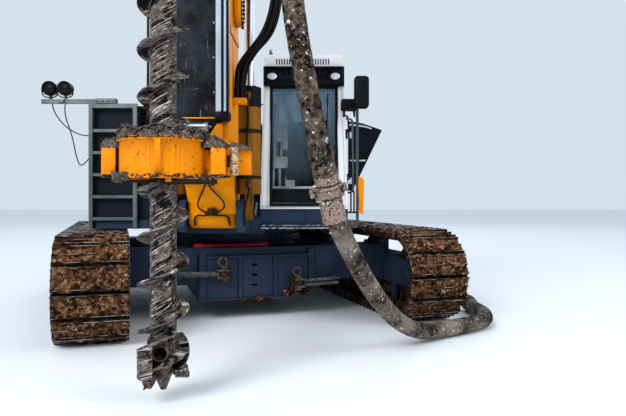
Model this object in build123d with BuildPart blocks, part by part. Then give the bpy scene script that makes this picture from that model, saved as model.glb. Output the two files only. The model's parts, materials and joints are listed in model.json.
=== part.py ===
from build123d import *
from collections import namedtuple
from math import cos, pi, radians, sin, tan
import os

os.makedirs("parts", exist_ok=True)

# Crawler piling rig with a continuous flight auger, in millimetres.
# Origin on the slewing axis at the ground, -Y forward, +X to the cab side, +Z up.

# Driving dimensions: undercarriage
turn_angle = 18                 # the undercarriage stands turned under the upper carriage
gauge = 3660                    # track centre to track centre
track_reach = 2450              # slew axis to the outermost grouser, along the tracks
shoe_width = 700
shoe_count = 48
pitch_radius = 430              # chain pitch line round sprocket and idler
shoe_plate = 62                 # pitch line to the outer face of a shoe plate
grouser = 43                    # height of a grouser over its plate
link_depth = 60                 # pitch line to the inner edge of the chain
shoe_seat = 12                  # pitch line to the inner face of a shoe plate
chain_rail = 42                 # width of one row of links
chain_gap = 116                 # clear width between the two rows of links
wheel_fit = 0.3                 # running clearance of a wheel on its chain and between its cheeks
end_flats = 14                  # flats of the chain round each end wheel
roller_radius = 95
carrier_radius = 70
bottom_roller_count = 7
frame_width = 330
frame_low = 385                 # underside of the track frame
frame_high = 730                # top of the track frame
carbody_width = 1390
carbody_length = 2640
carbody_low = 240
carbody_high = 760
axle_beam_offset = 1060         # axle beams before and behind the slew axis
axle_beam_length = 420
axle_beam_low = 430
axle_beam_high = 850
pedestal_radius = 880
pedestal_high = 920
plate_thickness = 30
rib_height = 24                 # ribs and flanges before the carbody's end plates

# Driving dimensions: upper carriage
slew_gap = 0.5                  # running gap of the slewing bearing
bearing_radius = 860
bearing_bore = 620
deck_low = 1085                 # underside of the deck, over the tracks
deck_high = 1180
deck_half_width = 1500
deck_front = 1500               # slew axis to the front edge of the deck
tail_radius = 4450              # slew axis to the back of the counterweight
spine_half_width = 480
spine_low = 1020
spine_reach = 1350              # the spine ends inside the tracks
lug_low = 1085
lug_inner = 268                 # centre plane to the inner face of a front lug
lug_thickness = 70
lug_front = 2210
lug_high = 1420
foot_pin_y = 1960
foot_pin_z = 1255
foot_pin_radius = 60

# Driving dimensions: cab
cab_inner = 450                 # centre plane to the cab's inner side, at the sill
cab_outer = 1460
cab_rear = 250                  # slew axis to the cab's back wall, rearwards
cab_sill = 1320
cab_top = 2945
cab_taper = 48                  # lean of each side of the cab from sill to roof
cab_wall = 60
cab_post = 115
glass_thickness = 8
roof_box_height = 160
brow_height = 215
slot_count = 7                  # air slots on each side of the roof box
slot_pitch = 30
door_front = 1330
door_back = 150
door_gap = 6

# Driving dimensions: panels of the houses
slat_lean = 38                  # lean of a louvre's slats
slat_thickness = 5
seam_width = 7
seam_depth = 8

# Driving dimensions: mast
mast_half_width = 330
mast_front = 3200
mast_back = 2530
mast_low = 1950
mast_high = 20300
mast_wall = 20
tilt_pin_y = 2800
tilt_pin_z = 1800
tilt_pin_radius = 70
cradle_half_width = 250
rail_reach = 120                # rails stand this far before the mast box
rail_inner = 236
rail_outer = 346
rail_web_inner = 255
rail_web_outer = 305
rail_flange = 60
rail_low = 2130
wear_plate_half_width = 228
wear_plate_thickness = 40
wear_plate_high = 19600
mast_joints = (8300, 14300)
flange_thickness = 28
flange_reach = 55

# Driving dimensions: crowd winch
winch_y = 2170
winch_z = 4825
winch_cheek_x = 305
winch_shaft = 50

# Driving dimensions: luffing cylinders
luff_spacing = 385              # centre plane to a cylinder's axis
luff_pin_y = 2050
luff_low_z = 1300
luff_high_z = 3750
luff_barrel_radius = 125
luff_bore_radius = 100
luff_barrel_low = 1450
luff_barrel_high = 2600
luff_rod_radius = 50
luff_pin_radius = 45
luff_eye_radius = 95
luff_eye_width = 80
rod_drift = 14                  # clearance of the open pin in the rod's eye

# Driving dimensions: drilling gear
auger_y = 4150
auger_radius = 185
stem_radius = 93
stem_bore = 60
flight_pitch = 330
flight_thickness = 16
tip_low = 90
flight_low = 480
flight_turns = 50
flight_facets = 12              # flat facets in each turn of the flight
guide_radius = 300
guide_bore = 235
guide_low = 1603
guide_high = 1832
guide_flange = 26
guide_flange_radius = 318
hinge_x = 497
hinge_radius = 31
sledge_low = 17500
sledge_high = 19350
sledge_gap = 5
pad_fit = 0.3                   # running clearance of the slide pads on the rails
sledge_plate = 75
sledge_half_width = 452
drive_radius = 390
drive_low = 17830
drive_high = 18700
swivel_radius = 150
motor_offset = 275              # auger axis to the axis of each drive motor
pipe_radius = 78
pipe_sides = 24
outlet_x = 620                  # gooseneck outlet from the auger axis
outlet_z = 19150
gooseneck_top = 19800

# Driving dimensions: hoses
hose_diameter = 165
coupling_length = 230
bundle_diameter = 110
bundle_x = mast_half_width + bundle_diameter / 2 + 5


def polar(radius, angle):
    return (radius * cos(radians(angle)), radius * sin(radians(angle)))


def turned(plane):
    """A plane of the straight undercarriage, turned with it about the slewing axis."""
    return Plane(Location((0, 0, 0), (0, 0, turn_angle)) * plane.location)


def side_plane(x):
    """Plane seen from the side at x: its X runs along +Y and its Y runs up."""
    return Plane(origin=(x, 0, 0), x_dir=(0, 1, 0), z_dir=(1, 0, 0))


def block(x, y, z):
    """A box between two bounds on each axis, in the builder's own plane."""
    size = [bound[1] - bound[0] for bound in (x, y, z)]
    centre = [(bound[1] + bound[0]) / 2 for bound in (x, y, z)]
    with Locations(tuple(centre)):
        return Box(*size)


def cut(x, y, z):
    size = [bound[1] - bound[0] for bound in (x, y, z)]
    centre = [(bound[1] + bound[0]) / 2 for bound in (x, y, z)]
    with Locations(tuple(centre)):
        return Box(*size, mode=Mode.SUBTRACT)


def bar_between(start, end, radius, mode=Mode.ADD):
    """A round bar from one point to another."""
    axis = Vector(*end) - Vector(*start)
    with BuildSketch(Plane(origin=start, z_dir=axis)) as section:
        Circle(radius)
    extrude(section.sketch, amount=axis.length, mode=mode)


def tube_along(points, radii, outer, inner=0):
    """A round tube through corner points, each corner rounded to its radius."""
    with BuildLine() as route:
        FilletPolyline(*points, radius=radii)
    path = route.wire()
    with BuildSketch(Plane(origin=path @ 0, z_dir=path % 0)) as section:
        Circle(outer)
        if inner:
            Circle(inner, mode=Mode.SUBTRACT)
    sweep(section.sketch, path=path)
    return path.length


def bent_slats(face, width, height, count, wall):
    """An opening in a wall, filled by slanted slats; the face's plane looks out of the wall."""
    with Locations(face.location):
        Box(width, height, 2 * wall + 2, mode=Mode.SUBTRACT)
    for index in range(count):
        rise = -height / 2 + (index + 0.5) * height / count
        with Locations(face.location * Location((0, rise, -wall / 2), (slat_lean, 0, 0))):
            Box(width + 4, slat_thickness, wall)


def seam(face, width, height):
    """The narrow gap round a panel that opens, cut a little way into its wall."""
    with BuildSketch(face) as ring:
        Rectangle(width, height)
        Rectangle(width - 2 * seam_width, height - 2 * seam_width, mode=Mode.SUBTRACT)
    extrude(ring.sketch, amount=-seam_depth, mode=Mode.SUBTRACT)


def facing(x, y, z, turn):
    """A plane on an upright wall that looks out at a compass turn from -Y; its Y runs up."""
    look = Vector(*polar(1, turn - 90), 0)
    return Plane(origin=(x, y, z), x_dir=look.rotate(Axis.Z, 90), z_dir=look)


def write(name, builder):
    builder.part.label = name
    export_step(builder.part, f"parts/{name}.step")


# Undercarriage

wheel_z = pitch_radius + shoe_plate + grouser
wheel_y = track_reach - wheel_z
straight = 2 * wheel_y
loop_length = 2 * straight + 2 * pi * pitch_radius
shoe_pitch = loop_length / shoe_count
chain_radius = pitch_radius - link_depth
tread_radius = chain_radius - wheel_fit


def loop_point(travel, out):
    """Point at a distance along the pitch line, moved outwards, as (along, up)."""
    quarter = pi * pitch_radius
    travel = travel % loop_length
    reach = pitch_radius + out
    if travel < straight:
        return (travel - wheel_y, wheel_z + reach)
    if travel < straight + quarter:
        turn = (travel - straight) / pitch_radius
        return (wheel_y + reach * sin(turn), wheel_z + reach * cos(turn))
    if travel < 2 * straight + quarter:
        return (wheel_y - (travel - straight - quarter), wheel_z - reach)
    turn = (travel - 2 * straight - quarter) / pitch_radius
    return (-wheel_y - reach * sin(turn), wheel_z - reach * cos(turn))


def shoe_corners(index):
    """Corners of one three-bar shoe, bolted to the link between two chain pins."""
    first_pin = Vector(*loop_point(index * shoe_pitch, 0))
    second_pin = Vector(*loop_point((index + 1) * shoe_pitch, 0))
    centre = (first_pin + second_pin) / 2
    along = (second_pin - first_pin).normalized()
    outward = Vector(-along.Y, along.X)
    half = shoe_pitch / 2 - 4
    bar = 14
    tip = shoe_plate + grouser
    profile = [
        (-half, shoe_seat), (-half, tip), (-half + 2 * bar, shoe_plate),
        (-bar, shoe_plate), (0, tip), (bar, shoe_plate),
        (half - 2 * bar, shoe_plate), (half, tip), (half, shoe_seat),
    ]
    return [tuple(centre + along * a + outward * b)[:2] for a, b in profile]


def stadium(radius, mode=Mode.ADD):
    """The loop's outline at a radius round its two wheels, its ends formed from flats."""
    step = 180 / end_flats
    corners = []
    for end, start in ((1, 90), (-1, -90)):
        for flat in range(end_flats):
            along, up = polar(radius / cos(radians(step / 2)), start - (flat + 0.5) * step)
            corners.append((end * wheel_y + along, wheel_z + up))
    with BuildLine() as outline:
        Polyline(*corners, close=True)
    make_face(outline.edges(), mode=mode)


track_outline = [corner for index in range(shoe_count) for corner in shoe_corners(index)]
rail_centre = chain_gap / 2 + chain_rail / 2

# name, side
for name, side in (("track_left", -1), ("track_right", 1)):
    with BuildPart() as track:
        with BuildSketch(turned(side_plane(side * gauge / 2))):
            with BuildLine():
                Polyline(*track_outline, close=True)
            make_face()
            stadium(pitch_radius + shoe_seat - 14, Mode.SUBTRACT)
        extrude(amount=shoe_width / 2, both=True)
        for row in (-1, 1):
            with BuildSketch(turned(side_plane(side * gauge / 2 + row * rail_centre))):
                stadium(pitch_radius + shoe_seat - 10)
                stadium(chain_radius, Mode.SUBTRACT)
            extrude(amount=chain_rail / 2, both=True)
    write(name, track)

roller_z = wheel_z - chain_radius + roller_radius + wheel_fit
carrier_z = wheel_z + chain_radius - carrier_radius - wheel_fit
roller_span = straight - 2 * roller_radius - 560
axle_half = chain_gap / 2 + chain_rail
cheek_inner = axle_half + 6
cheek = frame_width / 2 - cheek_inner
carrier_offset = 650
roller_places = [
    -roller_span / 2 + index * roller_span / (bottom_roller_count - 1) for index in range(bottom_roller_count)
]

# place along the track, height, radius
wheels = [(end * wheel_y, wheel_z, tread_radius) for end in (-1, 1)]
wheels += [(place, roller_z, roller_radius) for place in roller_places]
wheels += [(side * carrier_offset, carrier_z, carrier_radius) for side in (-1, 1)]

with BuildPart() as track_wheels:
    for side in (-1, 1):
        # treads run on the links, and the sides of a wheel run on the cheeks of the frame
        for place, height, radius in wheels:
            with BuildSketch(turned(side_plane(side * gauge / 2))):
                with Locations((place, height)):
                    Circle(radius)
            extrude(amount=cheek_inner - wheel_fit, both=True)
write("track_wheels", track_wheels)

with BuildPart() as track_frames:
    for side in (-1, 1):
        centre = side * gauge / 2
        for cheek_side in (-1, 1):
            middle = centre + cheek_side * (cheek_inner + cheek / 2)
            with BuildSketch(turned(side_plane(middle))):
                with BuildLine():
                    Polyline(
                        (-wheel_y, wheel_z - 150), (-wheel_y, wheel_z + 150), (-1350, frame_high),
                        (1350, frame_high), (wheel_y, wheel_z + 170), (wheel_y, wheel_z - 170),
                        (1350, frame_low), (-1350, frame_low), close=True,
                    )
                make_face()
                with Locations((-wheel_y, wheel_z)):
                    Circle(150)
                with Locations((wheel_y, wheel_z)):
                    Circle(170)
            extrude(amount=cheek / 2, both=True)
        # top and belly plates between the cheeks, clear of both wheels
        body = wheel_y - tread_radius - 30
        with BuildSketch(turned(side_plane(centre))):
            with Locations((0, (frame_low + frame_high) / 2)):
                Rectangle(2 * body, frame_high - frame_low)
        extrude(amount=cheek_inner, both=True)
        # roller brackets hanging from the cheeks and carrier posts standing on the frame
        for place in roller_places:
            for cheek_side in (-1, 1):
                middle = centre + cheek_side * (cheek_inner + cheek / 2)
                with BuildSketch(turned(side_plane(middle))):
                    with Locations((place, (frame_low + roller_z - 40) / 2)):
                        Rectangle(120, frame_low - roller_z + 60)
                extrude(amount=cheek / 2, both=True)
        with BuildSketch(turned(side_plane(centre + cheek_inner + cheek / 2))) as post_outer:
            with Locations((-carrier_offset, (frame_high + carrier_z) / 2),
                               (carrier_offset, (frame_high + carrier_z) / 2)):
                Rectangle(110, carrier_z - frame_high + 60)
        extrude(amount=cheek / 2, both=True)
        with BuildSketch(turned(side_plane(centre - cheek_inner - cheek / 2))) as post_inner:
            with Locations((-carrier_offset, (frame_high + carrier_z) / 2),
                               (carrier_offset, (frame_high + carrier_z) / 2)):
                Rectangle(110, carrier_z - frame_high + 60)
        extrude(amount=cheek / 2, both=True)
        # final drive housing outside the rear wheel
        with BuildSketch(turned(side_plane(centre + side * (frame_width / 2)))):
            with Locations((wheel_y, wheel_z)):
                Circle(250)
        extrude(amount=side * 90)
write("track_frames", track_frames)

frame_inner = gauge / 2 - frame_width / 2
half_width = carbody_width / 2
half_length = carbody_length / 2
with BuildPart(turned(Plane.XY)) as carbody:
    block((-half_width, half_width), (-half_length, half_length), (carbody_low, carbody_high))
    for end in (-1, 1):
        with Locations((0, end * axle_beam_offset, (axle_beam_low + axle_beam_high) / 2)):
            Box(2 * frame_inner, axle_beam_length, axle_beam_high - axle_beam_low)
    # slewing pedestal with its bolted flange
    with Locations((0, 0, (carbody_high + pedestal_high) / 2)):
        Cylinder(pedestal_radius - 90, pedestal_high - carbody_high)
    with Locations((0, 0, pedestal_high - plate_thickness / 2)):
        Cylinder(pedestal_radius, plate_thickness)
    cut((-half_width + plate_thickness, half_width - plate_thickness),
        (-half_length + plate_thickness, half_length - plate_thickness),
        (carbody_low + plate_thickness, carbody_high - plate_thickness))
    for end in (-1, 1):
        # end pillars, ribs between the panels and flanges above and below
        face_span = sorted((end * (half_length - 5), end * (half_length + rib_height)))
        for across, width, high in ((-half_width + 35, 70, carbody_high + 60), (-218, 34, carbody_high),
                                    (204, 34, carbody_high), (half_width - 35, 70, carbody_high + 60)):
            block((across - width / 2, across + width / 2),
                  face_span, (carbody_low, high))
        for low in (carbody_low, carbody_high - rib_height):
            block((-half_width, half_width), face_span, (low, low + rib_height))
        for rise in (0.32, 0.55, 0.78):
            with Locations((-40, end * half_length, carbody_low + rise * (carbody_high - carbody_low))):
                Box(64, 4 * plate_thickness, 26, mode=Mode.SUBTRACT)
        # gussets from the axle beams to the pedestal
        for side in (-1, 1):
            with BuildSketch(turned(side_plane(side * (half_width - 60)))) as gusset:
                with BuildLine():
                    Polyline((end * (axle_beam_offset - 150), axle_beam_high - 5),
                             (end * (axle_beam_offset + 150), axle_beam_high - 5),
                             (end * (pedestal_radius - 330), pedestal_high - plate_thickness - 5),
                             (end * (pedestal_radius - 430), pedestal_high - plate_thickness - 5), close=True)
                make_face()
            extrude(gusset.sketch, amount=12, both=True)
write("carbody", carbody)

TowEye = namedtuple("TowEye", "across height")
tow_eyes = (TowEye(-420, 560), TowEye(470, 420))
tow_eye_radius = 62
tow_hole_radius = 30
tow_eye_thickness = 50
tow_reach = 90
with BuildPart(turned(Plane.XY)) as tow_gear:
    for eye in tow_eyes:
        with BuildSketch(turned(Plane.XY).offset(eye.height - tow_eye_thickness / 2)) as eye_plate:
            with Locations((eye.across, -half_length - tow_reach)):
                Circle(tow_eye_radius)
            with Locations((eye.across, -half_length - tow_reach / 2)):
                Rectangle(2 * tow_eye_radius, tow_reach)
            with Locations((eye.across, -half_length - tow_reach)):
                Circle(tow_hole_radius, mode=Mode.SUBTRACT)
        extrude(eye_plate.sketch, amount=tow_eye_thickness)
write("tow_gear", tow_gear)

# Upper carriage

house_front = 420
house_top = 2500
house_half_width = 1490
house_wall = 30
panel_chamfer = 26              # folded corner between a house's sides and its roof
counterweight_side = 393        # depth of the counterweight's flat sides
counterweight_low = 960
counterweight_high = 2260
tail_corner_y = (tail_radius ** 2 - house_half_width ** 2) ** 0.5
house_back = tail_corner_y - counterweight_side
lug_outer = lug_inner + lug_thickness

with BuildPart() as deck:
    block((-deck_half_width, cab_inner), (-deck_front, house_back), (deck_low, deck_high))
    block((cab_inner, deck_half_width), (cab_rear, house_back), (deck_low, deck_high))
    block((-spine_half_width, spine_half_width), (-spine_reach, spine_reach), (spine_low, deck_low))
    with BuildSketch(Plane.XY.offset(spine_low)):
        Circle(bearing_radius)
    extrude(amount=deck_low - spine_low)
    with BuildSketch(Plane.XY.offset(pedestal_high + slew_gap)):
        Circle(bearing_radius)
        Circle(bearing_bore, mode=Mode.SUBTRACT)
    extrude(amount=spine_low - pedestal_high - slew_gap)
    for side in (-1, 1):
        with BuildSketch(side_plane(side * (lug_inner + lug_outer) / 2)):
            with BuildLine():
                Polyline(
                    (-deck_front + 100, lug_low), (-lug_front + 60, lug_low), (-lug_front, lug_low + 60),
                    (-lug_front, lug_high - 90), (-lug_front + 90, lug_high), (-1790, lug_high),
                    (-deck_front - 20, deck_high), (-deck_front + 100, deck_high), close=True,
                )
            make_face()
            with Locations((-foot_pin_y, foot_pin_z)):
                Circle(foot_pin_radius + 0.1, mode=Mode.SUBTRACT)
        extrude(amount=lug_thickness / 2, both=True)
        bar_between((side * lug_outer, -luff_pin_y, luff_low_z),
                    (side * (luff_spacing + luff_eye_width / 2 + 20), -luff_pin_y, luff_low_z),
                    luff_pin_radius)
write("deck", deck)

with BuildPart() as mast_cradle:
    with BuildSketch(side_plane(0)):
        with BuildLine():
            Polyline(
                (-1830, 1190), (-1745, 1560), (-2000, 1660), (-2770, 1925), (-2925, 1760),
                (-2250, 1560), (-2110, 1400), (-2095, 1220), close=True,
            )
        make_face()
        with Locations((-foot_pin_y, foot_pin_z)):
            Circle(140)
        with Locations((-tilt_pin_y, tilt_pin_z)):
            Circle(130)
    extrude(amount=cradle_half_width, both=True)
    bar_between((-lug_outer + 5, -foot_pin_y, foot_pin_z), (lug_outer - 5, -foot_pin_y, foot_pin_z),
                foot_pin_radius)
    bar_between((-cradle_half_width - 85, -tilt_pin_y, tilt_pin_z),
                (cradle_half_width + 85, -tilt_pin_y, tilt_pin_z), tilt_pin_radius)
write("mast_cradle", mast_cradle)


def cab_form(inset, low, high):
    """The cab's tapered outer form, moved inwards by an inset, between two heights."""
    rise = cab_top - cab_sill
    sections = []
    for height in (low, high):
        lean = cab_taper * (height - cab_sill) / rise
        left = cab_inner + inset + lean
        right = cab_outer - inset - lean
        front = -deck_front + inset + lean
        back = cab_rear - inset
        with BuildSketch(Plane.XY.offset(height)) as section:
            with Locations(((left + right) / 2, (front + back) / 2)):
                Rectangle(right - left, back - front)
        sections.append(section.sketch)
    loft(sections)


windscreen_low = cab_sill + 26
windscreen_high = cab_top - brow_height
cab_middle = (cab_inner + cab_outer) / 2
door_low = cab_sill + 40
door_high = cab_top - 130
cab_hinge_x = cab_outer + 20
cab_hinges = (1500, 2560)       # heights of the two door hinges
hinge_height = 45


def cab_windows(depth):
    """Windscreen, inner side, back and door openings as one set of cutting blocks."""
    screen_half = (cab_outer - cab_inner) / 2 - cab_post
    screen_height = windscreen_high - windscreen_low
    with Locations((cab_middle, -deck_front + depth / 2, (windscreen_low + windscreen_high) / 2)):
        Box(2 * screen_half, depth + 200, screen_height)
    with Locations((cab_middle, cab_rear, (1750 + 2750) / 2)):
        Box(2 * screen_half, depth + 200, 1000)
    with Locations((cab_inner, (-1350 + 100) / 2, (1700 + 2750) / 2)):
        Box(depth + 200, 1450, 1050)


with BuildPart() as cab_opening_cut:
    cab_windows(cab_wall)
with BuildPart() as cab_void:
    cab_form(cab_wall, cab_sill + cab_wall, cab_top - cab_wall)
with BuildPart() as cab_shell:
    cab_form(0, cab_sill, cab_top)
    add(cab_void.part, mode=Mode.SUBTRACT)
    add(cab_opening_cut.part, mode=Mode.SUBTRACT)
    cut((cab_outer - 200, cab_outer + 50), (-door_front, door_back), (door_low, door_high))
    # hinge lugs of the door
    for z in cab_hinges:
        block((cab_outer - cab_wall - 10, cab_hinge_x), (door_back + 2, door_back + 40),
              (z, z + hinge_height))
        bar_between((cab_hinge_x, door_back, z), (cab_hinge_x, door_back, z + hinge_height), 16)
        bar_between((cab_hinge_x, door_back, z), (cab_hinge_x, door_back, z + 2 * hinge_height), 9)
write("cab_shell", cab_shell)

glass_inset = 24
with BuildPart() as pane_void:
    cab_form(glass_inset + glass_thickness, cab_sill, cab_top)
with BuildPart() as cab_glass:
    cab_form(glass_inset, cab_sill, cab_top)
    add(pane_void.part, mode=Mode.SUBTRACT)
    add(cab_opening_cut.part, mode=Mode.INTERSECT)
write("cab_glass", cab_glass)

with BuildPart() as door_slab:
    block((cab_outer - 200, cab_outer + 50), (-door_front + door_gap, door_back - door_gap),
          (door_low + door_gap, door_high - door_gap))
with BuildPart() as door_pane_slab:
    block((cab_outer - 200, cab_outer + 50), (-door_front + 90, door_back - 90),
          (door_low + 420, door_high - 90))
with BuildPart() as door_void:
    cab_form(45, cab_sill, cab_top)
with BuildPart() as cab_door:
    cab_form(0, cab_sill, cab_top)
    add(door_void.part, mode=Mode.SUBTRACT)
    add(door_slab.part, mode=Mode.INTERSECT)
    add(door_pane_slab.part, mode=Mode.SUBTRACT)
    for z in cab_hinges:
        low = z + hinge_height + 0.5
        high = z + 2 * hinge_height
        block((cab_outer - cab_wall - 10, cab_hinge_x), (door_back - 60, door_back - door_gap), (low, high))
        bar_between((cab_hinge_x, door_back, low), (cab_hinge_x, door_back, high), 16)
        bar_between((cab_hinge_x, door_back, low), (cab_hinge_x, door_back, high), 9.1, Mode.SUBTRACT)
write("cab_door", cab_door)

with BuildPart() as cab_door_glass:
    cab_form(glass_inset, cab_sill, cab_top)
    add(pane_void.part, mode=Mode.SUBTRACT)
    add(door_pane_slab.part, mode=Mode.INTERSECT)
write("cab_door_glass", cab_door_glass)

with BuildPart() as cab_base:
    block((cab_inner, cab_outer), (-deck_front, cab_rear), (deck_low, cab_sill))
    cut((cab_inner + 40, cab_outer - 40), (-deck_front + 40, cab_rear - 40),
        (deck_low + 40, cab_sill - 40))
    # front cover in two panels above a lip
    for x, width in ((cab_inner + 265, 500), (cab_inner + 765, 460)):
        seam(facing(x, -deck_front, (deck_low + cab_sill) / 2 + 25, 0), width, cab_sill - deck_low - 80)
    block((cab_inner, cab_outer), (-deck_front - 18, -deck_front + 5), (deck_low, deck_low + 40))
    # step before the door
    block((cab_outer - 5, cab_outer + 65), (-door_front + 120, door_back - 160), (deck_low, deck_low + 30))
write("cab_base", cab_base)

with BuildPart() as cab_roof:
    block((cab_inner + cab_taper, cab_outer - cab_taper), (-deck_front + cab_taper, cab_rear - 60),
          (cab_top, cab_top + roof_box_height))
    cut((cab_inner + cab_taper + 40, cab_outer - cab_taper - 40),
        (-deck_front + cab_taper + 40, cab_rear - 100), (cab_top + 40, cab_top + roof_box_height - 40))
    roof_edges = cab_roof.edges().filter_by(lambda edge: edge.center().Z > cab_top + roof_box_height - 1)
    chamfer(roof_edges, 34)
    # air slots of the roof box
    for index in range(slot_count):
        for start in (cab_inner + 190, cab_outer - 190 - slot_count * slot_pitch):
            with Locations((start + index * slot_pitch, -deck_front + cab_taper, cab_top + 70)):
                Box(slot_pitch / 2, 120, 64, mode=Mode.SUBTRACT)
write("cab_roof", cab_roof)

brow_front = deck_front + 30
with BuildPart() as cab_brow:
    lean = cab_taper * (cab_top - brow_height - cab_sill) / (cab_top - cab_sill)
    block((cab_inner + lean, cab_outer - lean), (-brow_front, -deck_front + lean),
          (cab_top - brow_height, cab_top))
    for place in (594, 1313):
        with BuildSketch(Plane(origin=(place, -brow_front, 2825), z_dir=(0, -1, 0))):
            Ellipse(66, 46)
        extrude(amount=25)
write("cab_brow", cab_brow)

seat_x = cab_middle + 20
cab_floor = cab_sill + cab_wall
with BuildPart() as cab_seat:
    block((seat_x - 150, seat_x + 150), (-650, -300), (cab_floor, cab_floor + 300))
    block((seat_x - 260, seat_x + 260), (-760, -220), (cab_floor + 300, cab_floor + 420))
    block((seat_x - 240, seat_x + 240), (-330, -210), (cab_floor + 420, cab_floor + 1080))
write("cab_seat", cab_seat)

with BuildPart() as cab_console:
    for side in (-1, 1):
        block((seat_x + side * 340 - 55, seat_x + side * 340 + 55), (-900, -350),
              (cab_floor, cab_floor + 560))
write("cab_console", cab_console)

with BuildPart() as mirror_post:
    bar_between((1573, -1450, deck_low + 25), (1573, -1450, 2500), 17)
    bar_between((cab_outer, -1450, deck_low + 25), (1573, -1450, deck_low + 25), 17)
    for x, z, width, height, corner, near, far in (
        (1602, 2620, 165, 360, 42, -1650, -1720), (1467, 2487, 185, 125, 28, -1560, -1680),
    ):
        with BuildSketch(Plane(origin=(x, near, z), x_dir=(1, 0, 0), z_dir=(0, -1, 0))) as housing:
            RectangleRounded(width, height, corner)
        extrude(housing.sketch, amount=near - far)
    block((1500, 1590), (-1660, -1430), (2480, 2530))
write("mirror_post", mirror_post)

ladder_left = -1500
ladder_right = -950
ladder_front = 1560
ladder_bar = 44
ladder_top = 2516
left_house_front = 1470
left_house_right = -560
with BuildPart() as left_house:
    block((-house_half_width, left_house_right), (-left_house_front, house_front),
          (deck_high, house_top))
    cut((-house_half_width + house_wall, left_house_right - house_wall),
        (-left_house_front + house_wall, house_front - house_wall),
        (deck_high - 1, house_top - house_wall))
    bent_slats(facing(-765, -left_house_front, 2310, 0), 330, 300, 6, house_wall)
    for y in (-1010, -150):
        seam(facing(-house_half_width, y, 1830, -90), 800, 1180)
    bent_slats(facing(-house_half_width, -1010, 1980, -90), 560, 640, 9, house_wall)
    chamfer(left_house.edges().filter_by(Axis.Y).group_by(Axis.Z)[-1], panel_chamfer)
write("left_house", left_house)

with BuildPart() as left_ladder:
    ladder_back = -ladder_front + ladder_bar
    for x in (ladder_left + ladder_bar / 2, ladder_right - ladder_bar / 2):
        post = (x - ladder_bar / 2, x + ladder_bar / 2)
        block(post, (-ladder_front, ladder_back), (deck_low, ladder_top))
        block(post, (ladder_back, -deck_front), (deck_low + 20, deck_low + 70))
        block(post, (ladder_back, -left_house_front), (2380, 2430))
    block((ladder_left, ladder_right), (-ladder_front, ladder_back), (ladder_top - 50, ladder_top))
    for index in range(5):
        z = 1200 + 252 * index
        block((ladder_left + 40, ladder_right - 40), (-ladder_front + 4, ladder_back - 4),
              (z - 17, z + 17))
write("left_ladder", left_ladder)

with BuildPart() as lamp_arm:
    block((-2040, -1350), (-ladder_front, ladder_back), (ladder_top, ladder_top + 50))
    for x in (-1944, -1768):
        bar_between((x, ladder_back - 22, ladder_top + 50), (x, ladder_back - 22, 2640), 16)
        bar_between((x, ladder_back + 30, 2690), (x, -ladder_front - 30, 2690), 75)
write("lamp_arm", lamp_arm)

service_y = 360
service_x = 1540
service_hinges = (1650, 2300)
stack_radius = 75
with BuildPart() as engine_house:
    block((-house_half_width, house_half_width), (house_front, house_back),
          (deck_high, house_top))
    cut((-house_half_width + house_wall, house_half_width - house_wall),
        (house_front + house_wall, house_back - house_wall),
        (deck_high - 1, house_top - house_wall))
    cut((house_half_width - house_wall - 5, house_half_width + 5), (480, 960), (1560, 2400))
    rear_room = house_back - 700
    for side, turn in ((-1, -90), (1, 90)):
        for y in (rear_room - 900, rear_room):
            seam(facing(side * house_half_width, y, 1840, turn), 840, 1200)
            bent_slats(facing(side * house_half_width, y, 1960, turn), 620, 760, 10, house_wall)
    seam(facing(-house_half_width, 1120, 1840, -90), 900, 1200)
    # radiator grille and the exhaust stack in the roof
    with Locations((560, rear_room - 450, house_top)):
        Box(900, 1100, 2 * house_wall + 2, mode=Mode.SUBTRACT)
    for index in range(12):
        y = rear_room - 1000 + (index + 0.5) * 1100 / 12
        with Locations(Location((560, y, house_top - house_wall / 2), (slat_lean, 0, 0))):
            Box(904, slat_thickness, house_wall)
    bar_between((-820, rear_room, house_top - 5), (-820, rear_room, house_top + 330), stack_radius)
    bar_between((-820, rear_room, house_top - house_wall - 5), (-820, rear_room, house_top + 335),
                stack_radius - 7, Mode.SUBTRACT)
    roof_edges = engine_house.edges().filter_by(Axis.Y).filter_by(lambda edge: edge.center().Z > house_top - 1)
    outer_edges = roof_edges.filter_by(lambda edge: abs(edge.center().X) > house_half_width - 1)
    chamfer(outer_edges, panel_chamfer)
    # hinge lugs and pins of the open service door
    for z in service_hinges:
        block((house_half_width - 60, service_x), (service_y - 14, house_front + 20), (z, z + 60))
        bar_between((service_x, service_y, z), (service_x, service_y, z + 60), 28)
        bar_between((service_x, service_y, z), (service_x, service_y, z + 135), 12)
write("engine_house", engine_house)

with BuildPart() as engine_block:
    block((-350, 350), (1500, 2900), (deck_high, deck_high + 800))
write("engine_block", engine_block)

with BuildPart() as service_door:
    with BuildSketch(Plane(origin=(service_x, service_y - 60, 0), x_dir=(1, 0, 0), z_dir=(0, -1, 0))):
        with BuildLine():
            Polyline((320, 2490), (520, 2420), (95, 1540), (30, 1540), (30, 2545))
            ThreePointArc((30, 2545), (180, 2530), (320, 2490))
        make_face()
    extrude(amount=-40)
    for z in service_hinges:
        block((service_x, service_x + 100), (service_y - 50, service_y - 14), (z + 60.5, z + 135))
        bar_between((service_x, service_y, z + 60.5), (service_x, service_y, z + 135), 28)
        bar_between((service_x, service_y, z + 60.5), (service_x, service_y, z + 135), 12.1, Mode.SUBTRACT)
write("service_door", service_door)

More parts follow.
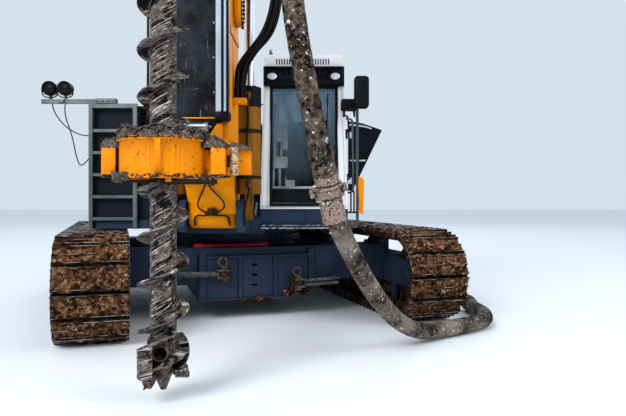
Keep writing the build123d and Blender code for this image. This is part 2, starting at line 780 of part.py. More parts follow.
slab_joint = 1620
lifting_eye_x = 820
with BuildPart() as counterweight:
    # two slabs, set in a little at the joint between them
    for low, high, inset in ((counterweight_low, slab_joint - 8, 0), (slab_joint - 9, slab_joint + 9, 18),
                             (slab_joint + 8, counterweight_high, 0)):
        with BuildSketch(Plane.XY.offset(low)) as slab:
            with BuildLine():
                Polyline((-house_half_width, tail_corner_y), (-house_half_width, house_back),
                         (house_half_width, house_back), (house_half_width, tail_corner_y))
                ThreePointArc((house_half_width, tail_corner_y), (0, tail_radius),
                              (-house_half_width, tail_corner_y))
            make_face()
            if inset:
                offset(amount=-inset)
        extrude(slab.sketch, amount=high - low)
    top_edges = counterweight.edges().filter_by(GeomType.CIRCLE).group_by(Axis.Z)
    chamfer(top_edges[-1] + top_edges[0], 45)
    # lifting eyes, and the slots through which the slabs are tied
    for side in (-1, 1):
        with BuildSketch(side_plane(side * lifting_eye_x)) as eye:
            with Locations((house_back + 220, counterweight_high + 55)):
                Circle(55)
            with Locations((house_back + 220, counterweight_high + 25)):
                Rectangle(110, 60)
            with Locations((house_back + 220, counterweight_high + 55)):
                Circle(26, mode=Mode.SUBTRACT)
        extrude(eye.sketch, amount=16, both=True)
        with Locations((side * lifting_eye_x, tail_radius, counterweight_low + 330)):
            Box(300, 700, 140, mode=Mode.SUBTRACT)
write("counterweight", counterweight)

# Mast

rail_front = mast_front + rail_reach
ear_radius = 130
ear_thickness = 66
ear_x = cradle_half_width + 7 + ear_thickness / 2
bracket_low = luff_high_z - 150
bracket_high = luff_high_z + 150
cheek_spread = 71               # cylinder axis to the middle of each bracket cheek
with BuildPart() as mast_box:
    block((-mast_half_width, mast_half_width), (-mast_front, -mast_back), (mast_low, mast_high))
    for side in (-1, 1):
        # foot ears round the tilt pin
        with BuildSketch(side_plane(side * ear_x)):
            with BuildLine():
                Polyline((-mast_front + 60, mast_low + 5), (-mast_back - 10, mast_low + 5),
                         (-tilt_pin_y + ear_radius - 10, tilt_pin_z),
                         (-tilt_pin_y - ear_radius + 10, tilt_pin_z),
                         close=True)
            make_face()
            with Locations((-tilt_pin_y, tilt_pin_z)):
                Circle(ear_radius)
                Circle(tilt_pin_radius + 0.1, mode=Mode.SUBTRACT)
        extrude(amount=ear_thickness / 2, both=True)
        # bracket for the eye of a luffing cylinder
        block((side * (luff_spacing - 60) - 140, side * (luff_spacing - 60) + 168), (-mast_back - 5, -2200),
              (bracket_low, bracket_high))
        for x in (side * (luff_spacing - cheek_spread), side * (luff_spacing + cheek_spread)):
            with BuildSketch(side_plane(x)):
                with Locations((-luff_pin_y, luff_high_z)):
                    Circle(100)
                with Locations(((-luff_pin_y - 2205) / 2, luff_high_z)):
                    Rectangle(155, 200)
            extrude(amount=17, both=True)
        bar_between((side * (luff_spacing - cheek_spread - 17), -luff_pin_y, luff_high_z),
                    (side * (luff_spacing + cheek_spread + 17), -luff_pin_y, luff_high_z), luff_pin_radius)
        # cheeks that carry the crowd winch
        with BuildSketch(side_plane(side * winch_cheek_x)):
            with BuildLine():
                Polyline((-mast_back - 20, winch_z - 475), (-mast_back - 20, winch_z + 475),
                         (-winch_y - 130, winch_z + 425), (-winch_y + 180, winch_z + 175),
                         (-winch_y + 180, winch_z - 175), (-winch_y - 130, winch_z - 425), close=True)
            make_face()
            with Locations((-winch_y, winch_z)):
                Circle(winch_shaft + 0.1, mode=Mode.SUBTRACT)
        extrude(amount=18, both=True)
    # bolted flanges between the lengths of the mast
    for z in mast_joints:
        for low in (z - flange_thickness - 1, z):
            block((-mast_half_width - flange_reach, mast_half_width + flange_reach),
                  (-mast_front + 70, -mast_back + flange_reach), (low, low + flange_thickness + 1))
    cut((-mast_half_width + mast_wall, mast_half_width - mast_wall),
        (-mast_front + mast_wall, -mast_back - mast_wall), (mast_low + mast_wall, mast_high - mast_wall))
    # manholes in the back plate
    for z in (mast_joints[0] - 700, mast_joints[1] - 700):
        with Locations((0, -mast_back, z)):
            Box(260, 60, 420, mode=Mode.SUBTRACT)
    # clamp foot of the supply hoses
    block((mast_half_width - 5, bundle_x + bundle_diameter / 2 + 5), (-2960, -2840), (2300, 2350))
write("mast_box", mast_box)

with BuildPart() as mast_rails:
    for side in (-1, 1):
        with BuildSketch(Plane.XY.offset(rail_low)):
            with Locations((side * (rail_inner + rail_outer) / 2, -rail_front + rail_flange / 2)):
                Rectangle(rail_outer - rail_inner, rail_flange)
            with Locations((side * (rail_web_inner + rail_web_outer) / 2,
                            -mast_front - (rail_reach - rail_flange) / 2)):
                Rectangle(rail_web_outer - rail_web_inner, rail_reach - rail_flange)
        extrude(amount=wear_plate_high - rail_low)
write("mast_rails", mast_rails)

with BuildPart() as wear_plate:
    block((-wear_plate_half_width, wear_plate_half_width),
          (-mast_front - wear_plate_thickness, -mast_front), (rail_low, wear_plate_high))
write("wear_plate", wear_plate)

sheave_radius = 240
sheave_rise = 500
sheave_z = mast_high + sheave_rise
sheave_front_y = 3100
sheave_rear_y = 2500
head_plate = 60
sheave_shaft = 40
with BuildPart() as mast_head:
    block((-mast_half_width, mast_half_width), (-mast_front, -mast_back), (mast_high, mast_high + head_plate))
    for side in (-1, 1):
        with BuildSketch(side_plane(side * 110)):
            with BuildLine():
                Polyline((-sheave_front_y - 330, sheave_z + 100), (-sheave_front_y - 230, sheave_z - 150),
                         (-mast_front + 50, mast_high + head_plate), (-mast_back - 30, mast_high + head_plate),
                         (-sheave_rear_y + 340, sheave_z - 150), (-sheave_rear_y + 340, sheave_z + 150),
                         (-sheave_rear_y + 140, sheave_z + 350), (-sheave_front_y - 130, sheave_z + 350),
                         close=True)
            make_face()
            with Locations((-sheave_front_y, sheave_z), (-sheave_rear_y, sheave_z)):
                Circle(sheave_shaft + 0.1, mode=Mode.SUBTRACT)
        extrude(amount=12, both=True)
    # spacers between the cheeks, clear of the sheaves, and side gussets on the head plate
    between_y = (sheave_front_y + sheave_rear_y) / 2
    for y, rise, radius in ((between_y, 0, 22), (between_y, 290, 32), (sheave_front_y + 295, 90, 22)):
        bar_between((-105, -y, sheave_z + rise), (105, -y, sheave_z + rise), radius)
    for side in (-1, 1):
        with BuildSketch(Plane(origin=(0, -between_y, 0), x_dir=(1, 0, 0), z_dir=(0, -1, 0))) as gusset:
            with BuildLine():
                Polyline((side * 118, mast_high + head_plate - 5),
                         (side * (mast_half_width - 20), mast_high + head_plate - 5),
                         (side * 118, mast_high + head_plate + 260), close=True)
            make_face()
        extrude(gusset.sketch, amount=14, both=True)
write("mast_head", mast_head)

# name, y
for name, y in (("head_sheave_front", sheave_front_y), ("head_sheave_rear", sheave_rear_y)):
    with BuildPart() as sheave:
        # half of the section: shaft, hub, thin web, and a rim with its rope groove
        with BuildSketch(Plane(origin=(0, -y, sheave_z), x_dir=(1, 0, 0), z_dir=(0, -1, 0))) as section:
            with BuildLine():
                Polyline((-130, 0), (-130, sheave_shaft), (-48, sheave_shaft), (-48, 82), (-11, 90),
                         (-11, sheave_radius - 38), (-34, sheave_radius - 28), (-34, sheave_radius + 18),
                         (-24, sheave_radius + 18), (0, sheave_radius - 14), (24, sheave_radius + 18),
                         (34, sheave_radius + 18), (34, sheave_radius - 28), (11, sheave_radius - 38),
                         (11, 90), (48, 82), (48, sheave_shaft), (130, sheave_shaft), (130, 0), close=True)
            make_face()
        revolve(section.sketch, axis=Axis((0, -y, sheave_z), (1, 0, 0)))
        for turn in range(6):
            reach, lift = polar(145, 60 * turn)
            hole = (-y + reach, sheave_z + lift)
            bar_between((-30, *hole), (30, *hole), 34, Mode.SUBTRACT)
    write(name, sheave)

with BuildPart() as winch_drum:
    drum_half = winch_cheek_x - 50
    bar_between((-drum_half, -winch_y, winch_z), (drum_half, -winch_y, winch_z), 200)
    for x in (-drum_half, drum_half - 20):
        bar_between((x, -winch_y, winch_z), (x + 20, -winch_y, winch_z), 300)
    shaft_half = winch_cheek_x + 18
    bar_between((-shaft_half, -winch_y, winch_z), (shaft_half, -winch_y, winch_z), winch_shaft)
write("winch_drum", winch_drum)

with BuildPart() as luff_barrels:
    for side in (-1, 1):
        x = side * luff_spacing
        with BuildSketch(side_plane(x)):
            with Locations((-luff_pin_y, luff_low_z)):
                Circle(luff_eye_radius)
            with Locations((-luff_pin_y, (luff_low_z + luff_barrel_low + 30) / 2)):
                Rectangle(150, luff_barrel_low + 30 - luff_low_z)
            with Locations((-luff_pin_y, luff_low_z)):
                Circle(luff_pin_radius + 0.1, mode=Mode.SUBTRACT)
        extrude(amount=luff_eye_width / 2, both=True)
        bar_between((x, -luff_pin_y, luff_barrel_low + 30), (x, -luff_pin_y, luff_barrel_high),
                    luff_barrel_radius)
        bar_between((x, -luff_pin_y, luff_barrel_low + 100), (x, -luff_pin_y, luff_barrel_high - 60),
                    luff_bore_radius, Mode.SUBTRACT)
        bar_between((x, -luff_pin_y, luff_barrel_high - 100), (x, -luff_pin_y, luff_barrel_high + 1),
                    luff_rod_radius + 0.1, Mode.SUBTRACT)
        # ports at both ends and the pipe between them, on the front
        port_y = -luff_pin_y - luff_barrel_radius
        for z in (luff_barrel_low + 80, luff_barrel_high - 130):
            block((x - 30, x + 30), (port_y - 34, port_y + 12), (z, z + 64))
        bar_between((x, port_y - 16, luff_barrel_low + 120), (x, port_y - 16, luff_barrel_high - 100), 11)
write("luff_barrels", luff_barrels)

with BuildPart() as luff_rods:
    for side in (-1, 1):
        x = side * luff_spacing
        bar_between((x, -luff_pin_y, 1800), (x, -luff_pin_y, luff_high_z - 80), luff_rod_radius)
        bar_between((x, -luff_pin_y, 1800), (x, -luff_pin_y, 1880), luff_bore_radius - 0.1)
        with BuildSketch(side_plane(x)):
            with Locations((-luff_pin_y, luff_high_z)):
                Circle(luff_eye_radius - 3)
                Circle(luff_pin_radius + rod_drift, mode=Mode.SUBTRACT)
        extrude(amount=luff_eye_width / 2, both=True)
write("luff_rods", luff_rods)

# Auger guide

guide_mid = (guide_low + guide_high) / 2


def guide_half(front):
    """Half of the guide drum with its flanges, before or behind the auger's axis."""
    shift = -1 if front else 1
    for low, high, radius in ((guide_low - guide_flange, guide_low, guide_flange_radius),
                              (guide_low, guide_high, guide_radius),
                              (guide_high, guide_high + guide_flange, guide_flange_radius)):
        with BuildSketch(Plane.XY.offset(low)) as ring:
            with Locations((0, -auger_y)):
                Circle(radius)
                Circle(guide_bore, mode=Mode.SUBTRACT)
            with Locations((0, -auger_y + shift * (3 + radius))):
                Rectangle(3 * radius, 2 * radius, mode=Mode.INTERSECT)
        extrude(ring.sketch, amount=high - low)
    near = -auger_y + shift * 3
    far = -auger_y + shift * 100
    span = (min(near, far), max(near, far))
    block((-403, -305), span, (1605, 1800))
    block((353, 451), span, (1605, 1800))
    web = (min(near, near + shift * 40), max(near, near + shift * 40))
    block((-320, -270), web, (1640, 1780))
    block((270, 360), web, (1640, 1780))


with BuildPart() as guide_gate:
    guide_half(True)
    block((18, 58), (-auger_y - guide_flange_radius, -auger_y - guide_radius + 20), (guide_low, guide_high))
    for low, high in ((1606, 1660), (1745, 1799)):
        block((445, hinge_x), (-auger_y - 28, -auger_y - 3), (low, high))
        bar_between((hinge_x, -auger_y, low), (hinge_x, -auger_y, high), hinge_radius)
    bar_between((hinge_x, -auger_y, 1606), (hinge_x, -auger_y, 1799), 14)
    bar_between((60, -auger_y - 250, 1552), (415, -auger_y - 250, 1552), 17)
    block((80, 120), (-auger_y - 270, -auger_y - 230), (1552, 1580))
write("guide_gate", guide_gate)

with BuildPart() as auger_guide:
    guide_half(False)
    block((445, hinge_x), (-auger_y + 3, -auger_y + 28), (1666, 1739))
    bar_between((hinge_x, -auger_y, 1666), (hinge_x, -auger_y, 1739), hinge_radius)
    bar_between((hinge_x, -auger_y, 1660), (hinge_x, -auger_y, 1745), 14.1, Mode.SUBTRACT)
    block((445, 615), (-auger_y + 60, -auger_y + 130), (1610, 1795))
    for side in (-1, 1):
        with BuildSketch(side_plane(side * 262)):
            with BuildLine():
                Polyline((-3985, 1610), (-3985, 1825), (-3850, 1870), (-mast_front, 2110),
                         (-mast_front, 1955), (-3700, 1610), close=True)
            make_face()
        extrude(amount=20, both=True)
write("auger_guide", auger_guide)

# Drilling gear

bundle_seat_y = -rail_front - sledge_gap - sledge_plate / 2 - 10
sledge_face = rail_front + sledge_gap + sledge_plate
with BuildPart() as drill_sledge:
    block((-sledge_half_width, sledge_half_width),
          (-rail_front - sledge_gap - sledge_plate, -rail_front - sledge_gap), (sledge_low, sledge_high))
    for side in (-1, 1):
        for low in (sledge_low, sledge_high - 350):
            block(sorted((side * (rail_outer + 5), side * sledge_half_width)),
                  (-rail_front - sledge_gap - 5, -mast_front - 5), (low, low + 350))
            block(sorted((side * (rail_web_outer + 8), side * sledge_half_width)),
                  (-rail_front + rail_flange + 5, -mast_front - 5), (low, low + 350))
            # slide pads on the outer edges and the front of the rails
            block(sorted((side * (rail_outer + pad_fit), side * (rail_outer + 10))),
                  (-rail_front + 5, -rail_front + rail_flange - 5), (low + 20, low + 330))
            block(sorted((side * (rail_inner + 20), side * (rail_outer - 20))),
                  (-rail_front - sledge_gap - 5, -rail_front - pad_fit), (low + 20, low + 330))
    # windows above and below the drive, and ribs across the plate
    for low, high in ((sledge_low + 70, drive_low - 10), (drive_high + 110, sledge_high - 120)):
        cut((-230, 230), (-sledge_face - 5, -rail_front - sledge_gap + 5), (low, high))
    for z in (sledge_low + 20, sledge_high - 60):
        block((-sledge_half_width, sledge_half_width), (-sledge_face - 45, -sledge_face + 5), (z, z + 24))
    # bulkhead for the supply hoses
    block((sledge_half_width - 5, 620), (-sledge_face - 20, -rail_front - sledge_gap), (18150, 18200))
write("drill_sledge", drill_sledge)

with BuildPart() as rotary_drive:
    # half of the gearbox's section, from the spindle collar up to the swivel
    with BuildSketch(Plane(origin=(0, -auger_y, 0), x_dir=(1, 0, 0), z_dir=(0, -1, 0))) as section:
        with BuildLine():
            Polyline((0, drive_low), (stem_radius + 70, drive_low), (stem_radius + 70, drive_low + 60),
                     (drive_radius - 70, drive_low + 90), (drive_radius - 40, drive_low + 130),
                     (drive_radius - 40, drive_low + 330), (drive_radius, drive_low + 330),
                     (drive_radius, drive_low + 385), (drive_radius - 30, drive_low + 400),
                     (drive_radius - 30, drive_high - 210), (drive_radius, drive_high - 200),
                     (drive_radius, drive_high - 150), (swivel_radius + 60, drive_high - 150),
                     (swivel_radius + 30, drive_high), (swivel_radius, drive_high),
                     (swivel_radius, drive_high + 300), (0, drive_high + 300), close=True)
        make_face()
    revolve(section.sketch, axis=Axis((0, -auger_y, 0), (0, 0, 1)))
    # a reduction gear and motor on each of three pinions
    for turn in (180, 252, 324):
        reach, along = polar(motor_offset, turn)
        axis = (reach, along - auger_y)
        for radius, low, high in ((102, -155, -20), (80, -25, 190), (96, 185, 215), (66, 210, 430)):
            bar_between((*axis, drive_high + low), (*axis, drive_high + high), radius)
    # saddle that bolts the gearbox to the sledge
    block((-260, 260), (-auger_y, -sledge_face), (drive_low + 180, drive_high - 160))
    for side in (-1, 1):
        with BuildSketch(side_plane(side * 275)) as web:
            with BuildLine():
                Polyline((-sledge_face, drive_low + 40), (-sledge_face, drive_high - 20),
                         (-auger_y + 120, drive_high - 165), (-auger_y + 120, drive_low + 185), close=True)
            make_face()
        extrude(web.sketch, amount=18, both=True)
    with Locations((0, -auger_y, drive_low + 74)):
        Cylinder(stem_radius + 0.1, 150, mode=Mode.SUBTRACT)
write("rotary_drive", rotary_drive)

neck_radius = outlet_x / 2
neck_z = gooseneck_top - neck_radius
with BuildPart() as gooseneck:
    for x, low in ((0, drive_high + 300), (outlet_x, outlet_z)):
        with BuildSketch(Plane.XY.offset(low)) as pipe:
            with Locations((x, -auger_y)):
                RegularPolygon(pipe_radius, pipe_sides)
        extrude(pipe.sketch, amount=neck_z - low)
        # clamp ring at each end of the pipe
        with BuildSketch(Plane.XY.offset(low)) as ring:
            with Locations((x, -auger_y)):
                RegularPolygon(pipe_radius + 20, pipe_sides)
        extrude(ring.sketch, amount=60)
    with BuildSketch(Plane.XY.offset(neck_z)) as pipe:
        with Locations((0, -auger_y)):
            RegularPolygon(pipe_radius, pipe_sides)
    revolve(pipe.sketch, axis=Axis((neck_radius, -auger_y, neck_z), (0, 1, 0)), revolution_arc=180)
write("gooseneck", gooseneck)

with BuildPart() as auger_stem:
    with BuildSketch(Plane.XY.offset(flight_low)):
        with Locations((0, -auger_y)):
            Circle(stem_radius)
            Circle(stem_bore, mode=Mode.SUBTRACT)
    extrude(amount=drive_low + 140 - flight_low)
write("auger_stem", auger_stem)


def flight(turns, low, start_angle, inner, outer):
    """A right-hand flight round the auger's axis, formed from flat facets."""
    rings = []
    for step in range(round(turns * flight_facets) + 1):
        angle = start_angle + 360 * step / flight_facets
        height = low + flight_pitch * step / flight_facets
        ring = []
        for radius, rise in ((inner, 0), (outer, 0), (outer, flight_thickness), (inner, flight_thickness)):
            across, along = polar(radius, angle)
            ring.append((across, along - auger_y, height + rise))
        rings.append(ring)
    outlines = [rings[0], rings[-1]]
    for before, after in zip(rings, rings[1:]):
        for corner in range(4):
            nearby = (corner + 1) % 4
            quad = (before[corner], before[nearby], after[nearby], after[corner])
            if corner in (1, 3):
                outlines.append(quad)
            else:
                outlines += [quad[:3], (quad[0], quad[2], quad[3])]
    faces = [Face(Wire.make_polygon(outline)) for outline in outlines]
    return Solid(Shell(faces))


with BuildPart() as auger_flight:
    flight_inner = stem_radius / cos(pi / flight_facets) + wheel_fit
    add(flight(flight_turns, flight_low, 180, flight_inner, auger_radius))
write("auger_flight", auger_flight)

outlet_hole_z = 365
wing_low = 190
tooth_places = (100, 134, 166)  # auger axis to each tooth of a wing
tooth_width = 26
with BuildPart() as auger_tip:
    with BuildSketch(Plane.XY.offset(250)):
        with Locations((0, -auger_y)):
            Circle(stem_radius)
    extrude(amount=flight_low - 250)
    with BuildSketch(Plane.XY.offset(330)):
        with Locations((0, -auger_y)):
            Circle(stem_bore)
    extrude(amount=flight_low - 330, mode=Mode.SUBTRACT)
    with BuildSketch(Plane.XY.offset(tip_low)):
        with Locations((0, -auger_y)):
            Circle(20)
    with BuildSketch(Plane.XY.offset(250)):
        with Locations((0, -auger_y)):
            Circle(stem_radius - 10)
    loft()
    # two cutting wings, each half a turn, with a row of teeth under its leading edge
    for start in (0, 180):
        add(flight(0.5, wing_low, start, stem_radius - 25, auger_radius - 5))
        for radius in tooth_places:
            reach, along = polar(radius, start)
            heading = Vector(*polar(1, start - 90), 0)
            with BuildSketch(Plane(origin=(reach, along - auger_y, wing_low), x_dir=heading,
                                   z_dir=Vector(*polar(1, start), 0))) as tooth:
                with BuildLine():
                    Polyline((-34, flight_thickness), (14, flight_thickness), (44, -62), (26, -66),
                             (-34, -8), close=True)
                make_face()
            extrude(tooth.sketch, amount=tooth_width / 2, both=True)
    bar_between((0, -auger_y, outlet_hole_z), (0, -auger_y - 150, outlet_hole_z), 50, Mode.SUBTRACT)
write("auger_tip", auger_tip)

# Hoses

hose_top = (outlet_x, -auger_y, outlet_z)
upper_route = [
    hose_top,
    (outlet_x, -auger_y, 18200), (outlet_x - 18, -auger_y + 6, 16500),
    (outlet_x + 2, -auger_y - 10, 14500), (outlet_x - 6, -auger_y + 4, 12300),
    (outlet_x + 14, -auger_y - 14, 10100), (outlet_x + 10, -auger_y, 8000),
    (outlet_x + 50, -auger_y - 25, 6100), (720, -4200, 4700),
    (820, -4215, 3700), (910, -4190, 2830), (1010, -4080, 2250), (1110, -3960, 1800),
]
coupling_top = Vector(*upper_route[-1])
coupling_run = (coupling_top - Vector(*upper_route[-2])).normalized()
coupling_low = coupling_top + coupling_run * coupling_length
lower_route = [
    tuple(coupling_low), tuple(coupling_low + coupling_run * 300),
    (1345, -3600, 1040), (1480, -3370, 780), (1680, -3060, 480),
    (1900, -2740, 240), (2160, -2440, 104), (2440, -2220, 98), (2720, -2030, 100), (2960, -1800, 98),
    (3050, -1480, 100), (3030, -1150, 98), (3040, -850, 100),
]


def tube_radii(points):
    """The widest corner radii that a route's runs allow."""
    radii = []
    for before, corner, after in zip(points, points[1:], points[2:]):
        first = Vector(*corner) - Vector(*before)
        second = Vector(*after) - Vector(*corner)
        turn = radians(first.get_angle(second))
        radii.append(0.45 * min(first.length, second.length) / tan(turn / 2))
    return radii


# name, route
for name, route in (("concrete_hose_upper", upper_route), ("concrete_hose_lower", lower_route)):
    radii = tube_radii(route)
    with BuildPart() as hose:
        length = tube_along(route, radii, hose_diameter / 2)
    print(name, "length", round(length), "radii", [round(r) for r in radii],
          "fill", round(hose.part.volume / (pi * hose_diameter ** 2 / 4 * length), 4))
    write(name, hose)

bundle_route = [
    (bundle_x, -2900, 2350), (bundle_x, -2900, 2520), (418, -2920, 2650), (520, -2970, 2770),
    (640, -3020, 2900), (715, -3060, 3100), (745, -3090, 3400), (745, -3110, 3850),
    (725, -3140, 4500), (690, -3160, 5500), (650, -3180, 6900), (655, -3190, 8500),
    (632, -3200, 10200), (644, -3190, 11900), (622, -3210, 13600), (626, -3220, 15200),
    (600, -3250, 16600), (548, bundle_seat_y, 17600), (548, bundle_seat_y, 18150),
]
bundle_radii = tube_radii(bundle_route)
with BuildPart() as supply_hoses:
    bundle_length = tube_along(bundle_route, bundle_radii, bundle_diameter / 2)
print("supply_hoses length", round(bundle_length), "radii", [round(r) for r in bundle_radii])
write("supply_hoses", supply_hoses)

hose_end = Vector(*lower_route[-1])
end_run = (hose_end - Vector(*lower_route[-2])).normalized()
# name, start, end
for name, start, end in (
    ("hose_coupling", coupling_top, coupling_low),
    ("hose_end_coupling", hose_end, hose_end + end_run * 140),
):
    with BuildPart() as sleeve:
        bar_between(tuple(start), tuple(end), hose_diameter / 2 + 10)
        bar_between(tuple(start), tuple(end), hose_diameter / 2 - 15, Mode.SUBTRACT)
    write(name, sleeve)
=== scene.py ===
import json
import math
import random
from collections import namedtuple
from functools import partial

import bmesh
import bpy
from mathutils import Matrix, Vector, noise

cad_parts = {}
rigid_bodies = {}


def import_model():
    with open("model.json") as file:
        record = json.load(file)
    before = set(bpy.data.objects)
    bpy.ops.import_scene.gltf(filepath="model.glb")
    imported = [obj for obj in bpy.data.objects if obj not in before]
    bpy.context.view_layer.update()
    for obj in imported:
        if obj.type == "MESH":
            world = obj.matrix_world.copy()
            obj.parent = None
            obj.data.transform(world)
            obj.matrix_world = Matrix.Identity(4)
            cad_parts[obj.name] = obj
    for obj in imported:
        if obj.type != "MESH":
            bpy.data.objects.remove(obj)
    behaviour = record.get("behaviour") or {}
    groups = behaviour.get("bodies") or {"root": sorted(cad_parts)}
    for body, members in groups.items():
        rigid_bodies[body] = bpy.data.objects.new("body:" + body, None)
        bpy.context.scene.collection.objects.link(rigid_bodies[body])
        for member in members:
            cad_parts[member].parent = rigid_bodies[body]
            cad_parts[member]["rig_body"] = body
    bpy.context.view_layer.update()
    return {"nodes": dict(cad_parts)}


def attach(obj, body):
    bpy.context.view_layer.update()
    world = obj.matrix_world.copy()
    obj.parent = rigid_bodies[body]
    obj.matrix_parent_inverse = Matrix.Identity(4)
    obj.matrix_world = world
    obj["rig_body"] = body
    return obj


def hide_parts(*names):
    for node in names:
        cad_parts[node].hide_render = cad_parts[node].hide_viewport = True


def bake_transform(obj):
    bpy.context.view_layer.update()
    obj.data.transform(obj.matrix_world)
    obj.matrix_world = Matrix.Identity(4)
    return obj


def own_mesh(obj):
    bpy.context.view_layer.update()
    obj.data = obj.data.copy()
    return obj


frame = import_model()

bl_info = {
    "name": "Crawler piling rig",
    "version": (1, 0, 0),
    "blender": (4, 5, 0),
    "location": "View3D > Sidebar > Piling rig",
    "description": "Gives the packed piling rig its surfaces, mud, hoses, ropes and small fittings",
    "category": "Object",
}

# Places shared by several groups, in metres
UNDERCARRIAGE_TURN = Matrix.Rotation(math.radians(18), 4, "Z")
AUGER_AXIS = Vector((0, -4.15, 0))

nodes = frame["nodes"]
materials = {}

# Dusty paint and dried soil throw back less of the sky than clean varnish does
CLEAN_GLOSS = 0.6
DULL_GLOSS = 0.1
SOIL_GLOSS = 0.03


class RigSizes(bpy.types.PropertyGroup):
    """Sizes of what the scene adds to the machine."""
    mud_depth: bpy.props.FloatProperty(
        name="Mud on tracks", description="Depth of the mud caked on the shoes",
        default=0.046, unit="LENGTH")
    track_clods: bpy.props.FloatProperty(
        name="Clod size", description="Size of the clods on the shoes", default=0.055, unit="LENGTH")
    auger_mud: bpy.props.FloatProperty(
        name="Mud on auger", description="Depth of the soil dried on the auger", default=0.01, unit="LENGTH")
    hose_diameter: bpy.props.FloatProperty(
        name="Concrete hose", description="Outer diameter of the concrete hose", default=0.165, unit="LENGTH")
    bundle_hose: bpy.props.FloatProperty(
        name="Supply hose", description="Outer diameter of one supply hose", default=0.034, unit="LENGTH")
    rope_diameter: bpy.props.FloatProperty(
        name="Rope", description="Diameter of the winch ropes", default=0.022, unit="LENGTH")


class RigColours(bpy.types.PropertyGroup):
    """Colours of the machine's finishes, as sRGB hex values."""
    enamel: bpy.props.StringProperty(name="Enamel", description="Mast and guide enamel", default="#F59A00")
    slate: bpy.props.StringProperty(name="Slate", description="Frame paint", default="#273348")
    navy: bpy.props.StringProperty(name="Navy", description="House paint", default="#0E1521")
    cab: bpy.props.StringProperty(name="Cab", description="Cab paint", default="#F6FAFD")
    mud: bpy.props.StringProperty(name="Mud", description="Dried mud", default="#7A5232")


def sizes():
    return bpy.context.scene.rig_sizes


def linear(colour):
    """A six-digit sRGB hex value as linear colour with full alpha."""
    channels = [int(colour[start:start + 2], 16) / 255 for start in (1, 3, 5)]
    return tuple(c / 12.92 if c <= 0.04045 else ((c + 0.055) / 1.055) ** 2.4 for c in channels) + (1.0,)


# Materials

# Kinds of node: type, settings, the inputs that the values go to in turn, and the output that is used
NODE_KINDS = {
    # held between 0 and 1
    "plus": ("ShaderNodeMath", {"operation": "ADD", "use_clamp": True}, (0, 1), 0),
    "times": ("ShaderNodeMath", {"operation": "MULTIPLY", "use_clamp": True}, (0, 1), 0),
    "larger": ("ShaderNodeMath", {"operation": "MAXIMUM", "use_clamp": True}, (0, 1), 0),
    # not held
    "free plus": ("ShaderNodeMath", {"operation": "ADD"}, (0, 1), 0),
    "free minus": ("ShaderNodeMath", {"operation": "SUBTRACT"}, (0, 1), 0),
    "free times": ("ShaderNodeMath", {"operation": "MULTIPLY"}, (0, 1), 0),
    "sine": ("ShaderNodeMath", {"operation": "SINE"}, (0,), 0),
    "turn": ("ShaderNodeMath", {"operation": "ARCTAN2"}, (0, 1), 0),
    # a value, its range and the range it is mapped to, held at the ends
    "range": ("ShaderNodeMapRange", {}, (0, 1, 2, 3, 4), 0),
    # a share and the two colours between which it blends
    "blend": ("ShaderNodeMix", {"data_type": "RGBA"}, (0, 6, 7), 2),
    "place": ("ShaderNodeTexCoord", {}, (), "Object"),
    "mapping": ("ShaderNodeMapping", {}, ("Vector", "Scale", "Rotation", "Location"), 0),
    "noise": ("ShaderNodeTexNoise", {}, ("Vector", "Scale", "Detail", "Roughness"), "Fac"),
    "weave": ("ShaderNodeTexWave", {"bands_direction": "Z"}, ("Vector", "Scale", "Distortion"), "Fac"),
    "bevel": ("ShaderNodeBevel", {"samples": 4}, ("Radius",), 0),
    "normal": ("ShaderNodeNewGeometry", {}, (), "Normal"),
    "dot": ("ShaderNodeVectorMath", {"operation": "DOT_PRODUCT"}, (0, 1), "Value"),
    "openness": ("ShaderNodeAmbientOcclusion", {"samples": 4}, ("Distance",), "AO"),
    "height": ("ShaderNodeSeparateXYZ", {}, (0,), "Z"),
    "vector": ("ShaderNodeCombineXYZ", {}, ("X", "Y"), 0),
    "bump": ("ShaderNodeBump", {}, ("Strength", "Distance", "Height", "Normal"), 0),
}


def set_inputs(node, inputs):
    """Set a node's inputs, or link those that are given a socket. Colours are hex values."""
    for name, value in inputs.items():
        if isinstance(value, bpy.types.NodeSocket):
            node.id_data.links.new(value, node.inputs[name])
        else:
            node.inputs[name].default_value = linear(value) if isinstance(value, str) else value


def add_node(tree, kind, *values):
    """Add a node of a kind in the table with its settings and links, and give its output."""
    node_type, settings, inputs, output = NODE_KINDS[kind]
    made = tree.nodes.new(node_type)
    for name, value in settings.items():
        setattr(made, name, value)
    set_inputs(made, dict(zip(inputs, values)))
    return made.outputs[output]


def new_material(name):
    """A new material's Principled shader, and add_node bound to its tree."""
    made = bpy.data.materials.new(name)
    made.use_nodes = True
    materials[name] = made
    return made.node_tree.nodes["Principled BSDF"], partial(add_node, made.node_tree)


def finish(shader, add, colour, roughness, gloss=None, metallic=None, bump=()):
    """Give the shader its colour and surface. The bump is its strength, depth, height and normal."""
    looks = {"Base Color": colour, "Roughness": roughness, "Specular IOR Level": gloss, "Metallic": metallic,
             "Normal": add("bump", *bump) if bump else None}
    set_inputs(shader, {name: value for name, value in looks.items() if value is not None})


def grain(add, millimetres, detail=3.0, stretch=(1, 1, 1), roughness=0.55, turn=(0, 0, 0)):
    """Noise whose marks are about that many millimetres across on the object."""
    return add("noise", add("mapping", add("place"), stretch, turn), 1000 / millimetres, detail, roughness)


def weighted(add, first, first_share, second, second_share):
    return add("plus", add("times", first, first_share), add("times", second, second_share))


def edge_share(add, radius):
    """Where an edge is close by, and the normal rounded over it."""
    rounded = add("bevel", radius)
    return add("range", add("dot", rounded, add("normal")), 0.985, 0.8), rounded


def painted_shade_share(add, reach, low=0.8, high=0.35):
    """Full in corners and gaps that the open sky hardly reaches: the mask of painted shade."""
    return add("range", add("openness", reach), low, high)


def low_share(add, height, soft):
    """Full near the ground and none above a height in metres."""
    return add("range", add("height", add("place")), height, height - soft)


